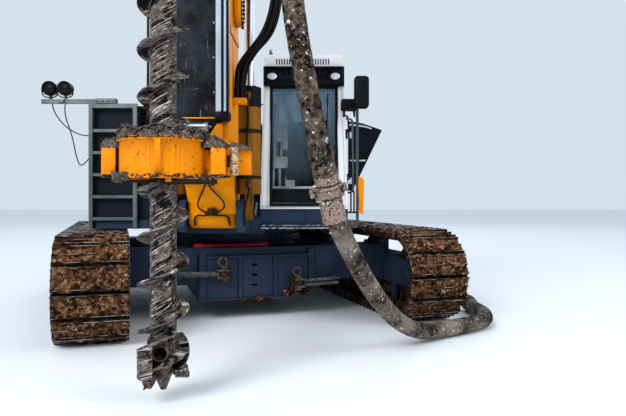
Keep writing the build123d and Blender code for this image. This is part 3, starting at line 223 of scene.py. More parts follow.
Coat = namedtuple("Coat", "colour shade dirt spots chip chips edges mud_height rough metallic dent")

# Sprayed machine enamels and worked metals, each with its own dirt, chips and worn edges.
# A colour is a hex value, or the name of one in RigColours.
COATS = {
    "yellow_enamel": Coat("enamel", "#E58400", "#3A281C", 0.34, "#5A3E28", 0.26, 0.6, 1.0, 0.36, 0.0, 0.2),
    "muddy_enamel": Coat("#EC8A00", "#DE7C00", "#2C201A", 0.66, "#2E2018", 0.44, 0.7, 1.2, 0.40, 0.0, 0.4),
    # the luffing barrels' enamel: the yellow darkened to brown as painted shade, with its own dirt and chips
    "painted_shade_enamel": Coat("#9A6212", "#4E300C", "#22160C", 0.56, "#1C1410", 0.34, 0.6, 1.0, 0.44, 0.0, 0.2),
    "slate_paint": Coat("slate", "#1B2436", "#3A322C", 0.28, "#4A4C52", 0.16, 0.4, 0.5, 0.52, 0.0, 0.3),
    "deck_paint": Coat("#2C3C52", "#223044", "#4A3E34", 0.34, "#8A8078", 0.20, 0.6, 0.9, 0.44, 0.0, 0.3),
    "navy_paint": Coat("navy", "#080D16", "#1E2126", 0.30, "#4A505A", 0.16, 0.4, 0.4, 0.60, 0.0, 0.2),
    "cab_enamel": Coat("cab", "#F4F8FC", "#A09E9C", 0.10, "#3C4048", 0.16, 0.2, 0.5, 0.30, 0.0, 0.15),
    "galvanised_steel": Coat("#6E7678", "#3C4446", "#2A2826", 0.56, "#A9AEB0", 0.34, 0.6, 1.0, 0.50, 0.45,
                             0.4),
    "cast_steel": Coat("#2A241F", "#15110E", "#5A3E2A", 0.60, "#8A7F76", 0.32, 0.7, 1.2, 0.70, 0.35, 0.6),
    "machined_steel": Coat("#A9AFB8", "#5E646E", "#2C2826", 0.46, "#D8DCE2", 0.36, 0.7, 0.5, 0.32, 0.80, 0.3),
    "black_rubber": Coat("#101216", "#08090C", "#4A423A", 0.38, "#34363A", 0.22, 0.2, 0.6, 0.50, 0.0, 0.3),
    "moulded_plastic": Coat("#0F1114", "#08090B", "#2A2A2C", 0.28, "#3A3D42", 0.20, 0.2, 0.4, 0.42, 0.0, 0.2),
    "red_enamel": Coat("#C4202E", "#8E1620", "#4A2E24", 0.46, "#7A6A60", 0.34, 0.5, 0.8, 0.38, 0.0, 0.3),
    "sleeve_steel": Coat("#9A8276", "#4E4038", "#2A1D15", 1.05, "#E2DDD6", 0.82, 0.7, 0.6, 0.48, 0.45, 0.7),
    "worn_hard_steel": Coat("#77726C", "#332C27", "#4A3020", 0.66, "#C9C8C6", 0.50, 0.9, 1.0, 0.44, 0.60,
                            0.6),
    "greased_rope": Coat("#3E3A36", "#1C1A18", "#2A2119", 0.50, "#8A8884", 0.40, 0.2, 0.4, 0.48, 0.60, 0.3),
    "pale_plastic": Coat("#DCE6EA", "#BCCAD0", "#6A6C70", 0.30, "#8A9096", 0.20, 0.2, 0.4, 0.40, 0.0, 0.2),
    "polished_steel": Coat("#D4DCE8", "#9AA4B4", "#3A3632", 0.40, "#F2F5F8", 0.34, 0.5, 0.5, 0.30, 0.35, 0.3),
    "rubbed_enamel": Coat("#EBD3B4", "#8A5A2C", "#3A2A20", 0.70, "#F2E6DC", 0.60, 0.9, 1.9, 0.44, 0.1, 0.5),
    "rusted_steel": Coat("#5E3C26", "#2C1A10", "#1C1410", 0.60, "#A0663A", 0.46, 0.7, 1.2, 0.80, 0.2, 0.7),
}


def make_coat(name, coat):
    """Paint or metal with broad tone, rain streaks, dirt from the ground up, chips, worn edges and painted
    shade in its corners.
    """
    shader, add = new_material(name)
    broad = grain(add, 700, 4)
    streaks = grain(add, 60, 4, stretch=(1, 1, 0.06))
    fine = grain(add, 26, 5, roughness=0.7)
    specks = grain(add, 9, 3, roughness=0.7)
    edges, rounded = edge_share(add, 0.006)
    tone = add("range", weighted(add, broad, 0.6, streaks, 0.4), 0.36, 0.66)
    paint = add("blend", tone, coat.shade, coat.colour)
    soil = add("free plus", fine, add("times", low_share(add, coat.mud_height + 0.5, 1.0), 0.13))
    soil = add("free plus", soil, add("times", edges, 0.05))
    dirt_edge = 0.74 - 0.2 * coat.spots
    dirt = add("range", soil, dirt_edge, dirt_edge + 0.07)
    film = add("range", streaks, 0.54, 0.8, 0.0, 0.34 * coat.spots)
    dirty = add("blend", add("larger", dirt, film), paint, coat.dirt)
    worn = add("times", edges, add("range", fine, 0.62 - 0.3 * coat.edges, 0.72))
    bare = add("larger", worn, add("range", specks, 0.82 - 0.26 * coat.chips, 0.86 - 0.26 * coat.chips))
    chipped = add("blend", bare, dirty, coat.chip)
    # painted shade: near black blended into corners and gaps that the open sky hardly reaches, broken up by
    # noise
    painted_shade_mask = add("times", painted_shade_share(add, 0.05), add("range", fine, 0.3, 0.55, 0.45, 0.95))
    relief = add("free minus", add("times", dirt, 0.8), add("times", bare, 0.5))
    relief = add("free plus", relief, add("times", broad, coat.dent))
    finish(shader, add, add("blend", painted_shade_mask, chipped, "#0E0A08"),
           add("range", add("larger", dirt, bare), 0, 1, coat.rough, 0.85),
           CLEAN_GLOSS if name == "cab_enamel" else DULL_GLOSS, coat.metallic,
           (0.5, 0.004, relief, rounded))


def make_track_mud():
    """Clay dried on the shoes: painted shade in its cracks, darker where wet, ochre on its crumbs."""
    shader, add = new_material("dried_clay")
    clods = grain(add, 90, 6, roughness=0.65)
    crumbs = grain(add, 38, 6, roughness=0.75)
    wet = grain(add, 420, 3)
    tone = add("range", weighted(add, clods, 0.45, crumbs, 0.55), 0.44, 0.57)
    clay = add("blend", tone, "#160C07", bpy.context.scene.rig_colours.mud)
    clay = add("blend", add("range", crumbs, 0.54, 0.65), clay, "#B89A80")
    clay = add("blend", add("range", wet, 0.44, 0.62, 0.0, 0.4), clay, "#22160F")
    # painted shade: near black blended into the cracks that the open sky hardly reaches
    finish(shader, add, add("blend", painted_shade_share(add, 0.07, 0.85, 0.45), clay, "#060403"),
           add("range", wet, 0.4, 0.6, 0.92, 0.62), SOIL_GLOSS,
           bump=(0.9, 0.012, add("free plus", clods, add("times", crumbs, 0.6))))


def make_soils():
    """Grey boring spoil dried in a heap, and splashed grout."""
    shader, add = new_material("grey_soil")
    clods = grain(add, 70, 6, roughness=0.65)
    crumbs = grain(add, 11, 5, roughness=0.75)
    tone = add("range", weighted(add, clods, 0.5, crumbs, 0.5), 0.4, 0.62)
    soil = add("blend", tone, "#17110E", "#74685F")
    soil = add("blend", add("range", crumbs, 0.58, 0.67), soil, "#B9AFA6")
    soil = add("blend", add("range", clods, 0.56, 0.7, 0.0, 0.6), soil, "#4F3524")
    # painted shade: near black blended into hollows that the open sky hardly reaches
    finish(shader, add, add("blend", painted_shade_share(add, 0.05, 0.8, 0.4), soil, "#080605"), 0.9, SOIL_GLOSS,
           bump=(0.9, 0.01, add("free plus", clods, add("times", crumbs, 0.6))))
    shader, add = new_material("dried_grout")
    spots = add("range", grain(add, 9, 4, roughness=0.7), 0.4, 0.62)
    finish(shader, add, add("blend", spots, "#8E857C", "#D6D2CC"), 0.88)


def make_shoe_steel():
    """Cast shoes: brown with clay, their grousers ground bright on the edges."""
    shader, add = new_material("shoe_steel")
    edges, rounded = edge_share(add, 0.007)
    clods = grain(add, 60, 5, roughness=0.7)
    soil = add("blend", add("range", clods, 0.4, 0.62), "#0E0A08", "#4A3222")
    bright = add("times", edges, add("range", grain(add, 130, 4), 0.44, 0.58))
    finish(shader, add, add("blend", bright, soil, "#D5D6DA"), add("range", bright, 0, 1, 0.85, 0.3),
           SOIL_GLOSS, bright, (0.8, 0.008, clods, rounded))


def make_auger_steel():
    """Abraded auger steel under a skin of grey soil, scored round the stem by the bored ground."""
    shader, add = new_material("scoured_steel")
    centred = add("mapping", add("place"), (1, 1, 1), (0, 0, 0), tuple(-AUGER_AXIS))
    parts = add("height", centred).node.outputs
    turn = add("turn", parts["Y"], parts["X"])
    # scores climb with the flight, 0.33 m a turn, and lie some 12 mm apart
    climb = add("free minus", parts["Z"], add("free times", turn, 0.33 / (2 * math.pi)))
    score_place = add("vector", climb, add("free times", add("sine", turn), 0.02))
    scores = add("noise", score_place, 84.0, 4.0, 0.7)
    patches = grain(add, 110, 6, roughness=0.68)
    crumbs = grain(add, 34, 6, roughness=0.75)
    tone = add("range", weighted(add, scores, 0.45, patches, 0.55), 0.475, 0.54)
    steel = add("blend", tone, "#0F0C0A", "#8E857E")
    steel = add("blend", add("range", scores, 0.56, 0.66), steel, "#D6CFC8")
    soil = add("range", weighted(add, patches, 0.6, crumbs, 0.4), 0.5, 0.55)
    skin = add("blend", add("range", crumbs, 0.46, 0.58), "#080605", "#685D55")
    edges, rounded = edge_share(add, 0.005)
    covered = add("blend", soil, steel, skin)
    worn = add("times", edges, add("range", crumbs, 0.4, 0.55))
    covered = add("blend", worn, covered, "#CFC2B6")
    relief = add("free plus", add("times", scores, 0.5), add("free plus", soil, add("times", crumbs, 0.8)))
    # painted shade: near black blended into corners and gaps that the open sky hardly reaches
    finish(shader, add, add("blend", painted_shade_share(add, 0.08, 0.75, 0.35), covered, "#0A0706"),
           add("range", soil, 0, 1, 0.42, 0.88), DULL_GLOSS, add("range", soil, 0, 1, 0.35, 0.0),
           (0.7, 0.006, relief, rounded))


def make_wear_plate():
    """Hardened slide plate: blue black, scratched by stones, with soil left in smears."""
    shader, add = new_material("hardened_plate")
    cloud = grain(add, 160, 6, roughness=0.6)
    scratches = grain(add, 45, 5, stretch=(1, 1, 0.16), turn=(0, 0.5, 0), roughness=0.7)
    crossing = grain(add, 40, 5, stretch=(0.2, 1, 1), turn=(0, 0.7, 0), roughness=0.7)
    dull = add("blend", add("range", cloud, 0.36, 0.62), "#06070A", "#23272F")
    marks = add("larger", add("range", scratches, 0.63, 0.7), add("range", crossing, 0.65, 0.72))
    smears = add("range", grain(add, 55, 6, roughness=0.75), 0.6, 0.7, 0.0, 0.8)
    marked = add("blend", marks, dull, "#8C8A8A")
    finish(shader, add, add("blend", smears, marked, "#7D6149"), add("range", cloud, 0.3, 0.7, 0.32, 0.62),
           DULL_GLOSS, 0.35, (0.4, 0.004, add("free plus", cloud, marks)))


def make_concrete_hose():
    """Fabric-wrapped rubber hose: crusted with grout and soil above, rubbed smooth by the ground below."""
    shader, add = new_material("grouted_rubber")
    patches = grain(add, 130, 6, roughness=0.65)
    crust = grain(add, 46, 6, roughness=0.75)
    tone = add("range", weighted(add, patches, 0.4, crust, 0.6), 0.455, 0.58)
    cover = add("blend", tone, "#0D0A09", "#6A5F55")
    soil = add("range", grain(add, 70, 6, roughness=0.7), 0.51, 0.62, 0.0, 0.75)
    cover = add("blend", soil, cover, "#40291A")
    cloud = add("range", weighted(add, grain(add, 330, 4), 0.6, crust, 0.4), 0.4, 0.6)
    cover = add("blend", low_share(add, 1.35, 0.3), cover, add("blend", cloud, "#1F1A17", "#857B71"))
    spots = add("range", grain(add, 42, 5, roughness=0.75), 0.605, 0.64)
    finish(shader, add, add("blend", spots, cover, "#D6CEC4"), 0.78, SOIL_GLOSS,
           bump=(0.7, 0.008, add("free plus", patches, crust)))


def make_clear_surfaces():
    """Tinted toughened glass, lamp lenses, chromed rods, the pale floor and seat cloth."""
    shader, add = new_material("tinted_glass")
    dust = add("range", grain(add, 240, 5), 0.4, 0.72, -0.1, 0.14)
    # the pane is clear and dark below, and greyed above by a painted reflection of the sky, and by dust
    sky = add("range", add("height", add("place")), 1.55, 2.55)
    finish(shader, add, add("blend", sky, "#101C22", "#6A8CA2"), 0.05)
    set_inputs(shader, {"IOR": 1.5, "Alpha": add("plus", add("range", sky, 0, 1, 0.12, 0.56), dust)})
    shader, add = new_material("lamp_lens")
    finish(shader, add, "#D5DCE2", 0.12, metallic=0.35,
           bump=(0.5, 0.003, grain(add, 12, 2, stretch=(1, 1, 0.1))))
    shader, add = new_material("hard_chrome")
    film = grain(add, 90, 4, stretch=(1, 1, 0.1))
    finish(shader, add, add("blend", add("range", film, 0.45, 0.75), "#E2E6EA", "#9DA3AB"),
           add("range", film, 0.4, 0.7, 0.1, 0.26), metallic=1.0)
    shader, add = new_material("floor_card")
    finish(shader, add, "#E9EDF2", 0.85)
    shader, add = new_material("seat_cloth")
    weave = add("weave", add("place"), 120.0, 1.0)
    finish(shader, add, add("blend", weave, "#1D1F25", "#31353E"), 0.9, bump=(0.4, 0.002, weave))


def make_materials():
    colours = bpy.context.scene.rig_colours
    for name, coat in COATS.items():
        make_coat(name, coat._replace(colour=getattr(colours, coat.colour, coat.colour)))
    make_track_mud()
    make_soils()
    make_shoe_steel()
    make_auger_steel()
    make_wear_plate()
    make_concrete_hose()
    make_clear_surfaces()


# Mesh tools


def add_box(bm, corner, opposite, bevel=0.0):
    """A box between two opposite corners, with its edges bevelled."""
    low, high = (Vector(place) for place in zip(*(sorted(pair) for pair in zip(corner, opposite))))
    place = Matrix.Translation((low + high) / 2) @ Matrix.Diagonal((*(high - low), 1))
    corners = bmesh.ops.create_cube(bm, size=1, matrix=place)["verts"]
    if bevel:
        edges = list({edge for corner in corners for edge in corner.link_edges})
        bmesh.ops.bevel(bm, geom=edges, offset=bevel, segments=2, profile=0.5, affect="EDGES", material=-1)


def add_bar(bm, start, end, radius, end_radius=None, sides=16):
    """A round or many-sided bar between two points."""
    start, end = Vector(start), Vector(end)
    turn = (end - start).to_track_quat("Z", "Y").to_matrix().to_4x4()
    bmesh.ops.create_cone(
        bm, cap_ends=True, segments=sides, radius1=radius,
        radius2=radius if end_radius is None else end_radius,
        depth=(end - start).length, matrix=Matrix.Translation((start + end) / 2) @ turn)


def add_lathe(bm, profile, origin, axis, sides=48):
    """Spin a profile of (radius, distance along the axis) round an axis."""
    axis = Vector(axis).normalized()
    across = axis.orthogonal().normalized()
    points = [bm.verts.new(Vector(origin) + across * radius + axis * along) for radius, along in profile]
    edges = [bm.edges.new(pair) for pair in zip(points, points[1:])]
    bmesh.ops.spin(bm, geom=points + edges, cent=origin, axis=axis, angle=2 * math.pi, steps=sides,
                   use_merge=True)
    bmesh.ops.remove_doubles(bm, verts=bm.verts[:], dist=0.00005)


def add_prism(bm, outline, depth, bevel=0.0):
    """A plate from its outline, as thick as the depth vector."""
    corners = [bm.verts.new(point) for point in outline]
    face = bm.faces.new(corners)
    grown = bmesh.ops.extrude_face_region(bm, geom=[face])["geom"]
    far = [item for item in grown if isinstance(item, bmesh.types.BMVert)]
    bmesh.ops.translate(bm, verts=far, vec=depth)
    if bevel:
        edges = list({edge for corner in corners + far for edge in corner.link_edges})
        bmesh.ops.bevel(bm, geom=edges, offset=bevel, segments=2, profile=0.5, affect="EDGES", material=-1)


def add_hose(bm, points, radius, per_point=8, sides=6):
    """A smooth round hose or cable along points, with flat ends."""
    curve = route_curve(points, per_point)
    curve.bevel_depth = radius
    curve.bevel_resolution = sides
    curve.use_fill_caps = True
    holder = bpy.data.objects.new("route", curve)
    bpy.context.collection.objects.link(holder)
    bpy.context.view_layer.update()
    mesh = bpy.data.meshes.new_from_object(holder.evaluated_get(bpy.context.evaluated_depsgraph_get()))
    bm.from_mesh(mesh)
    bpy.data.objects.remove(holder)
    bpy.data.meshes.remove(mesh)


def route_curve(points, per_point):
    curve = bpy.data.curves.new("route", "CURVE")
    curve.dimensions = "3D"
    curve.resolution_u = per_point
    spline = curve.splines.new("NURBS")
    spline.points.add(len(points) - 1)
    for target, point in zip(spline.points, points):
        target.co = (*point, 1)
    spline.order_u = 3
    spline.use_endpoint_u = True
    return curve


def add_bolts(bm, places, normal, size=0.018, height=0.012):
    """Hexagon bolt heads with washers."""
    normal = Vector(normal)
    for place in places:
        place = Vector(place)
        add_bar(bm, place, place + normal * height * 0.25, size * 1.5, sides=12)
        add_bar(bm, place + normal * height * 0.25, place + normal * height, size, sides=6)


def spoke(turn, reach=1.0, height=0.0):
    """A place round the upright axis, at an angle in radians."""
    return Vector((reach * math.cos(turn), reach * math.sin(turn), height))


def around(count):
    """The angles of so many even steps of a full turn."""
    return [2 * math.pi * index / count for index in range(count)]


def circle_across(x, y, z, reach, turns):
    """Places on a circle that faces along x."""
    return [(x, y + reach * math.cos(turn), z + reach * math.sin(turn)) for turn in turns]


def new_points(bm, before):
    return [point for point in bm.verts if point not in before]


def roughen(points, depth, size, seed=0.0, lift=0.0, octaves=4):
    """Move points along their normals by noise, as dried soil does."""
    shift = Vector((seed, seed * 1.7, seed * 2.3))
    for point in points:
        value = noise.fractal(point.co / size + shift, 0.9, 2.1, octaves)
        point.co += point.normal * (lift + depth * value)


def place_piece(name, bm, material, body, replaced=(), smooth=35):
    """Turn a bmesh into a piece that rides on a body."""
    bmesh.ops.recalc_face_normals(bm, faces=bm.faces[:])
    mesh = bpy.data.meshes.new(name)
    bm.to_mesh(mesh)
    bm.free()
    mesh.polygons.foreach_set("use_smooth", [True] * len(mesh.polygons))
    mesh.set_sharp_from_angle(angle=math.radians(smooth))
    mesh.materials.append(materials[material])
    piece = bpy.data.objects.new(name, mesh)
    bpy.context.collection.objects.link(piece)
    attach(piece, body)
    if replaced:
        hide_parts(*replaced)
    return piece


def smooth_copy(node, material, angle=32, part="finished", chosen=None):
    """A copy of a turned CAD node, or of chosen faces of it, whose round faces are shaded smooth."""
    bm = bmesh.new()
    bm.from_mesh(nodes[node].data)
    bmesh.ops.remove_doubles(bm, verts=bm.verts[:], dist=0.00002)
    if chosen:
        other = [face for face in bm.faces if not chosen(face.calc_center_median())]
        bmesh.ops.delete(bm, geom=other, context="FACES")
    return place_piece(node + "_" + part, bm, material, nodes[node]["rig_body"], (node,), angle)


# node, material, material slot: nodes that keep their own mesh
PLAIN_NODES = (
    ("carbody", "slate_paint", "slate_paint"),
    ("track_left", "shoe_steel", "track_steel"),
    ("track_right", "shoe_steel", "track_steel"),
    ("deck", "deck_paint", "slate_paint"),
    ("cab_shell", "cab_enamel", "white_paint"),
    ("cab_glass", "tinted_glass", "window_glass"),
    ("cab_door_glass", "tinted_glass", "window_glass"),
    ("cab_base", "deck_paint", "slate_paint"),
    ("cab_roof", "cab_enamel", "white_paint"),
    ("cab_door", "cab_enamel", "white_paint"),
    ("left_house", "navy_paint", "navy_paint"),
    ("left_ladder", "galvanised_steel", "grey_paint"),
    ("engine_house", "navy_paint", "navy_paint"),
    ("engine_block", "cast_steel", "bare_steel"),
    ("service_door", "navy_paint", "navy_paint"),
    ("counterweight", "navy_paint", "navy_paint"),
    ("mast_box", "yellow_enamel", "yellow_paint"),
    ("mast_rails", "machined_steel", "bare_steel"),
    ("wear_plate", "hardened_plate", "bare_steel"),
    ("mast_head", "yellow_enamel", "yellow_paint"),
    ("drill_sledge", "yellow_enamel", "yellow_paint"),
    ("cab_seat", "seat_cloth", "seat_cloth"),
    ("cab_console", "moulded_plastic", "black_plastic"),
)

# node, material, material slot: turned nodes that are shaded smooth
TURNED_NODES = (
    ("track_wheels", "cast_steel", "track_steel"),
    ("track_frames", "slate_paint", "slate_paint"),
    ("tow_gear", "cast_steel", "slate_paint"),
    ("mast_cradle", "yellow_enamel", "yellow_paint"),
    ("cab_brow", "navy_paint", "navy_paint"),
    ("auger_guide", "muddy_enamel", "yellow_paint"),
    ("guide_gate", "muddy_enamel", "yellow_paint"),
    ("head_sheave_front", "machined_steel", "bare_steel"),
    ("head_sheave_rear", "machined_steel", "bare_steel"),
    ("winch_drum", "machined_steel", "bare_steel"),
    # the barrels' darkened enamel is painted shade
    ("luff_barrels", "painted_shade_enamel", "yellow_paint"),
    ("luff_rods", "hard_chrome", "chrome_rod"),
    ("rotary_drive", "yellow_enamel", "yellow_paint"),
    ("auger_stem", "scoured_steel", "bare_steel"),
    ("auger_tip", "scoured_steel", "bare_steel"),
    ("hose_coupling", "grouted_rubber", "bare_steel"),
    ("hose_end_coupling", "sleeve_steel", "bare_steel"),
)


class RIG_OT_stage(bpy.types.Operator):
    """Camera, pale floor, overcast sky and soft lights."""
    bl_idname = "rig.stage"
    bl_label = "Stage"

    def execute(self, context):
        camera_data = bpy.data.cameras.new("camera")
        camera = bpy.data.objects.new("camera", camera_data)
        context.collection.objects.link(camera)
        camera.location = (1.06, -8.4, 1.45)
        camera.rotation_euler = (math.radians(90), 0, 0)
        camera_data.lens = 34.5
        camera_data.sensor_width = 36
        camera_data.shift_y = -0.0176
        camera_data.clip_end = 400
        context.scene.camera = camera

        bm = bmesh.new()
        bmesh.ops.create_grid(bm, x_segments=1, y_segments=1, size=60)
        mesh = bpy.data.meshes.new("floor")
        bm.to_mesh(mesh)
        bm.free()
        mesh.materials.append(materials["floor_card"])
        floor = bpy.data.objects.new("floor", mesh)
        context.collection.objects.link(floor)

        # name, place, aimed at, size, power
        lights = (
            ("key_light", (-8, -17, 12), (0.5, -2, 2), 8.0, 3300),
            ("side_light", (14, -9, 10), (0.5, -1, 2), 8.0, 900),
            ("back_light", (2, 18, 16), (0, 0, 4), 12.0, 900),
        )
        for name, place, target, size, power in lights:
            data = bpy.data.lights.new(name, "AREA")
            data.size = size
            data.energy = power
            lamp = bpy.data.objects.new(name, data)
            lamp.location = place
            lamp.rotation_mode = "QUATERNION"
            lamp.rotation_quaternion = (Vector(target) - Vector(place)).to_track_quat("-Z", "Y")
            context.collection.objects.link(lamp)

        world = bpy.data.worlds.new("overcast")
        world.use_nodes = True
        background = world.node_tree.nodes["Background"]
        background.inputs["Color"].default_value = linear("#DDE9F4")
        background.inputs["Strength"].default_value = 0.92
        context.scene.world = world
        context.scene.view_settings.view_transform = "Standard"
        return {"FINISHED"}


class RIG_OT_cad_finishes(bpy.types.Operator):
    """Finishes of the pieces that keep their own shape."""
    bl_idname = "rig.cad_finishes"
    bl_label = "Finishes"

    def execute(self, context):
        for node, material, slot in PLAIN_NODES:
            nodes[node].data.materials.clear()
            nodes[node].data.materials.append(materials[material])
        for node, material, slot in TURNED_NODES:
            smooth_copy(node, material)
        # black housings on grey tube
        for node, housing in (("mirror_post", lambda at: at.z > 2.42 and at.y < -1.555),
                              ("lamp_arm", lambda at: at.z > 2.6)):
            smooth_copy(node, "moulded_plastic", part="housings", chosen=housing)
            smooth_copy(node, "galvanised_steel", part="tube",
                        chosen=lambda at, housing=housing: not housing(at))
        return {"FINISHED"}


# Track loop, as the shoes lie: wheel centres, pitch line and shoe plate
WHEEL_REACH = 1.915
WHEEL_HEIGHT = 0.535
PITCH_RADIUS = 0.43
SHOE_PLATE = 0.062
SHOE_WIDTH = 0.7
TRACK_CENTRE = 1.83
SHOE_COUNT = 48
LOOP_LENGTH = 4 * WHEEL_REACH + 2 * math.pi * PITCH_RADIUS


def loop_point(travel, out):
    """Place on a track's loop as (along, up), at a distance outside the pitch line."""
    quarter = math.pi * PITCH_RADIUS
    straight = 2 * WHEEL_REACH
    travel %= LOOP_LENGTH
    reach = PITCH_RADIUS + out
    if travel < straight:
        return travel - WHEEL_REACH, WHEEL_HEIGHT + reach
    if travel < straight + quarter:
        turn = (travel - straight) / PITCH_RADIUS
        return WHEEL_REACH + reach * math.sin(turn), WHEEL_HEIGHT + reach * math.cos(turn)
    if travel < 2 * straight + quarter:
        return WHEEL_REACH - (travel - straight - quarter), WHEEL_HEIGHT - reach
    turn = (travel - 2 * straight - quarter) / PITCH_RADIUS
    return -WHEEL_REACH - reach * math.sin(turn), WHEEL_HEIGHT - reach * math.cos(turn)


class RIG_OT_track_mud(bpy.types.Operator):
    """Clay caked between the grousers, with bare shoes and cracks showing through."""
    bl_idname = "rig.track_mud"
    bl_label = "Track mud"

    def execute(self, context):
        along, across = 760, 40
        pitch = LOOP_LENGTH / SHOE_COUNT
        ground_start = 2 * WHEEL_REACH + math.pi * PITCH_RADIUS
        depth, clod = sizes().mud_depth, sizes().track_clods
        for side, name in ((-1, "left_track_mud"), (1, "right_track_mud")):
            draws = random.Random(31 + side)
            bare = [draws.random() for _ in range(SHOE_COUNT)]
            bm = bmesh.new()
            bmesh.ops.create_grid(bm, x_segments=along, y_segments=across, size=0.5)
            for point in bm.verts:
                travel = (point.co.x + 0.5) * LOOP_LENGTH
                place = point.co.y
                shoe = int(travel / pitch) % SHOE_COUNT
                within = (travel / pitch) % 1
                flow = noise.noise(Vector((travel * 1.7, place * 2.4, side * 5.0)))
                lumps = noise.fractal(Vector((travel, place * 0.7, side * 3.0)) / clod, 0.8, 2.1, 5)
                cover = 0.62 + 0.75 * flow + 0.5 * place * side * -1
                thick = depth * min(1.0, max(0.0, 1.7 * cover)) * (0.8 + 0.62 * lumps)
                crack = min(within, 1 - within)
                if bare[shoe] < 0.55 and crack < 0.13:
                    thick -= 0.075 * (1 - crack / 0.13)
                if abs(place) > 0.487:
                    thick = -0.02
                if ground_start < travel < ground_start + 2 * WHEEL_REACH:
                    thick = min(thick, 0.038)
                y, z = loop_point(travel, SHOE_PLATE + min(thick, 0.056) - 0.004)
                point.co = Vector((side * TRACK_CENTRE + place * SHOE_WIDTH * 0.995, y, max(z, 0.004)))
            bmesh.ops.remove_doubles(bm, verts=bm.verts[:], dist=0.0005)
            bmesh.ops.transform(bm, matrix=UNDERCARRIAGE_TURN, verts=bm.verts[:])
            place_piece(name, bm, "dried_clay", "undercarriage", smooth=60)
        return {"FINISHED"}


FLIGHT_LOW = 0.48
FLIGHT_PITCH = 0.33
FLIGHT_TURNS = 50
STEM_RADIUS = 0.093
FLIGHT_RIM = 0.1845


def add_flight(bm, low, turns, steps, profile, start=0.0, pitch=FLIGHT_PITCH):
    """Spin a profile of (radius, height) up round the auger's axis."""
    heading = Vector((math.cos(start), math.sin(start), 0))
    points = [bm.verts.new(AUGER_AXIS + heading * radius + Vector((0, 0, low + height)))
              for radius, height in profile]
    edges = [bm.edges.new((points[index], points[(index + 1) % len(points)])) for index in range(len(points))]
    bmesh.ops.spin(bm, geom=points + edges, cent=AUGER_AXIS, axis=(0, 0, 1), angle=2 * math.pi * turns,
                   dvec=(0, 0, pitch / steps), steps=int(steps * turns))


class RIG_OT_auger(bpy.types.Operator):
    """The flight and stem, scoured and caked with soil in their lower turns."""
    bl_idname = "rig.auger"
    bl_label = "Auger"

    def execute(self, context):
        mud = sizes().auger_mud
        bare = [(0.092, 0.0), (0.14, 0.001), (0.176, 0.001), (0.1835, 0.004), (0.1835, 0.011),
                (0.176, 0.015), (0.14, 0.016), (0.092, 0.018)]
        caked_turns = 9
        bm = bmesh.new()
        add_flight(bm, FLIGHT_LOW + caked_turns * FLIGHT_PITCH, FLIGHT_TURNS - caked_turns, 48, bare, math.pi)
        place_piece("flight_upper", bm, "scoured_steel", "auger", ("auger_flight",), 50)

        fine = [(0.092, -0.012), (0.1, -0.004), (0.115, 0.0), (0.132, 0.001), (0.15, 0.001),
                (0.166, 0.001), (0.177, 0.002), (0.1815, 0.005), (0.1815, 0.012), (0.177, 0.017),
                (0.166, 0.018), (0.15, 0.019), (0.132, 0.021), (0.115, 0.025), (0.1, 0.034), (0.092, 0.046)]
        bm = bmesh.new()
        add_flight(bm, FLIGHT_LOW, caked_turns, 96, fine, math.pi)
        bmesh.ops.recalc_face_normals(bm, faces=bm.faces[:])
        bm.normal_update()
        for point in bm.verts:
            out = (point.co - AUGER_AXIS).to_2d().length
            rim = 0.35 if out > 0.178 else 1.0
            cake = noise.noise(point.co / 0.21 + Vector((3, 1, 7)))
            lump = noise.fractal(point.co / 0.03, 0.8, 2.1, 4)
            point.co += point.normal * rim * (0.35 * mud * lump + 0.55 * mud * max(0.0, cake + 0.12))
            # the rim stays inside the bored hole, a little ragged
            out = (point.co - AUGER_AXIS).to_2d().length
            if out > FLIGHT_RIM:
                centre = Vector((*AUGER_AXIS.to_2d(), point.co.z))
                point.co = centre + (point.co - centre) * (FLIGHT_RIM / out)
        place_piece("flight_lower", bm, "scoured_steel", "auger", smooth=60)

        bm = bmesh.new()
        rows = 150
        top = FLIGHT_LOW + caked_turns * FLIGHT_PITCH
        profile = [(STEM_RADIUS + 0.0006, FLIGHT_LOW + (top - FLIGHT_LOW) * row / rows)
                   for row in range(rows + 1)]
        add_lathe(bm, profile, AUGER_AXIS, (0, 0, 1), 72)
        bm.normal_update()
        for point in bm.verts:
            cake = noise.noise(point.co / 0.16 + Vector((9, 2, 4)))
            lump = noise.fractal(point.co / 0.022, 0.9, 2.1, 4)
            rise = max(0.0, cake - 0.02) * 0.9 * mud + 0.14 * mud * (lump + 0.6)
            point.co += point.normal * max(0.0, rise)
        place_piece("stem_soil", bm, "scoured_steel", "auger", smooth=60)
        return {"FINISHED"}


CONCRETE_ROUTE = (
    (0.62, -4.15, 19.15), (0.62, -4.15, 18.2), (0.602, -4.144, 16.5), (0.622, -4.16, 14.5),
    (0.614, -4.146, 12.3), (0.634, -4.164, 10.1), (0.63, -4.15, 8.0), (0.67, -4.175, 6.1),
    (0.72, -4.2, 4.7), (0.82, -4.215, 3.7), (0.91, -4.19, 2.83), (1.01, -4.08, 2.25),
    (1.11, -3.96, 1.8),
)
COUPLING_LENGTH = 0.23
COUPLING_RUN = (Vector(CONCRETE_ROUTE[-1]) - Vector(CONCRETE_ROUTE[-2])).normalized()
COUPLING_LOW = Vector(CONCRETE_ROUTE[-1]) + COUPLING_RUN * COUPLING_LENGTH
GROUND_ROUTE = (
    tuple(COUPLING_LOW), tuple(COUPLING_LOW + COUPLING_RUN * 0.3), (1.345, -3.6, 1.04),
    (1.48, -3.37, 0.78), (1.68, -3.06, 0.48), (1.9, -2.74, 0.24), (2.16, -2.44, 0.104),
    (2.44, -2.22, 0.098), (2.72, -2.03, 0.1), (2.96, -1.8, 0.098), (3.05, -1.48, 0.1),
    (3.03, -1.15, 0.098), (3.04, -0.85, 0.1),
)
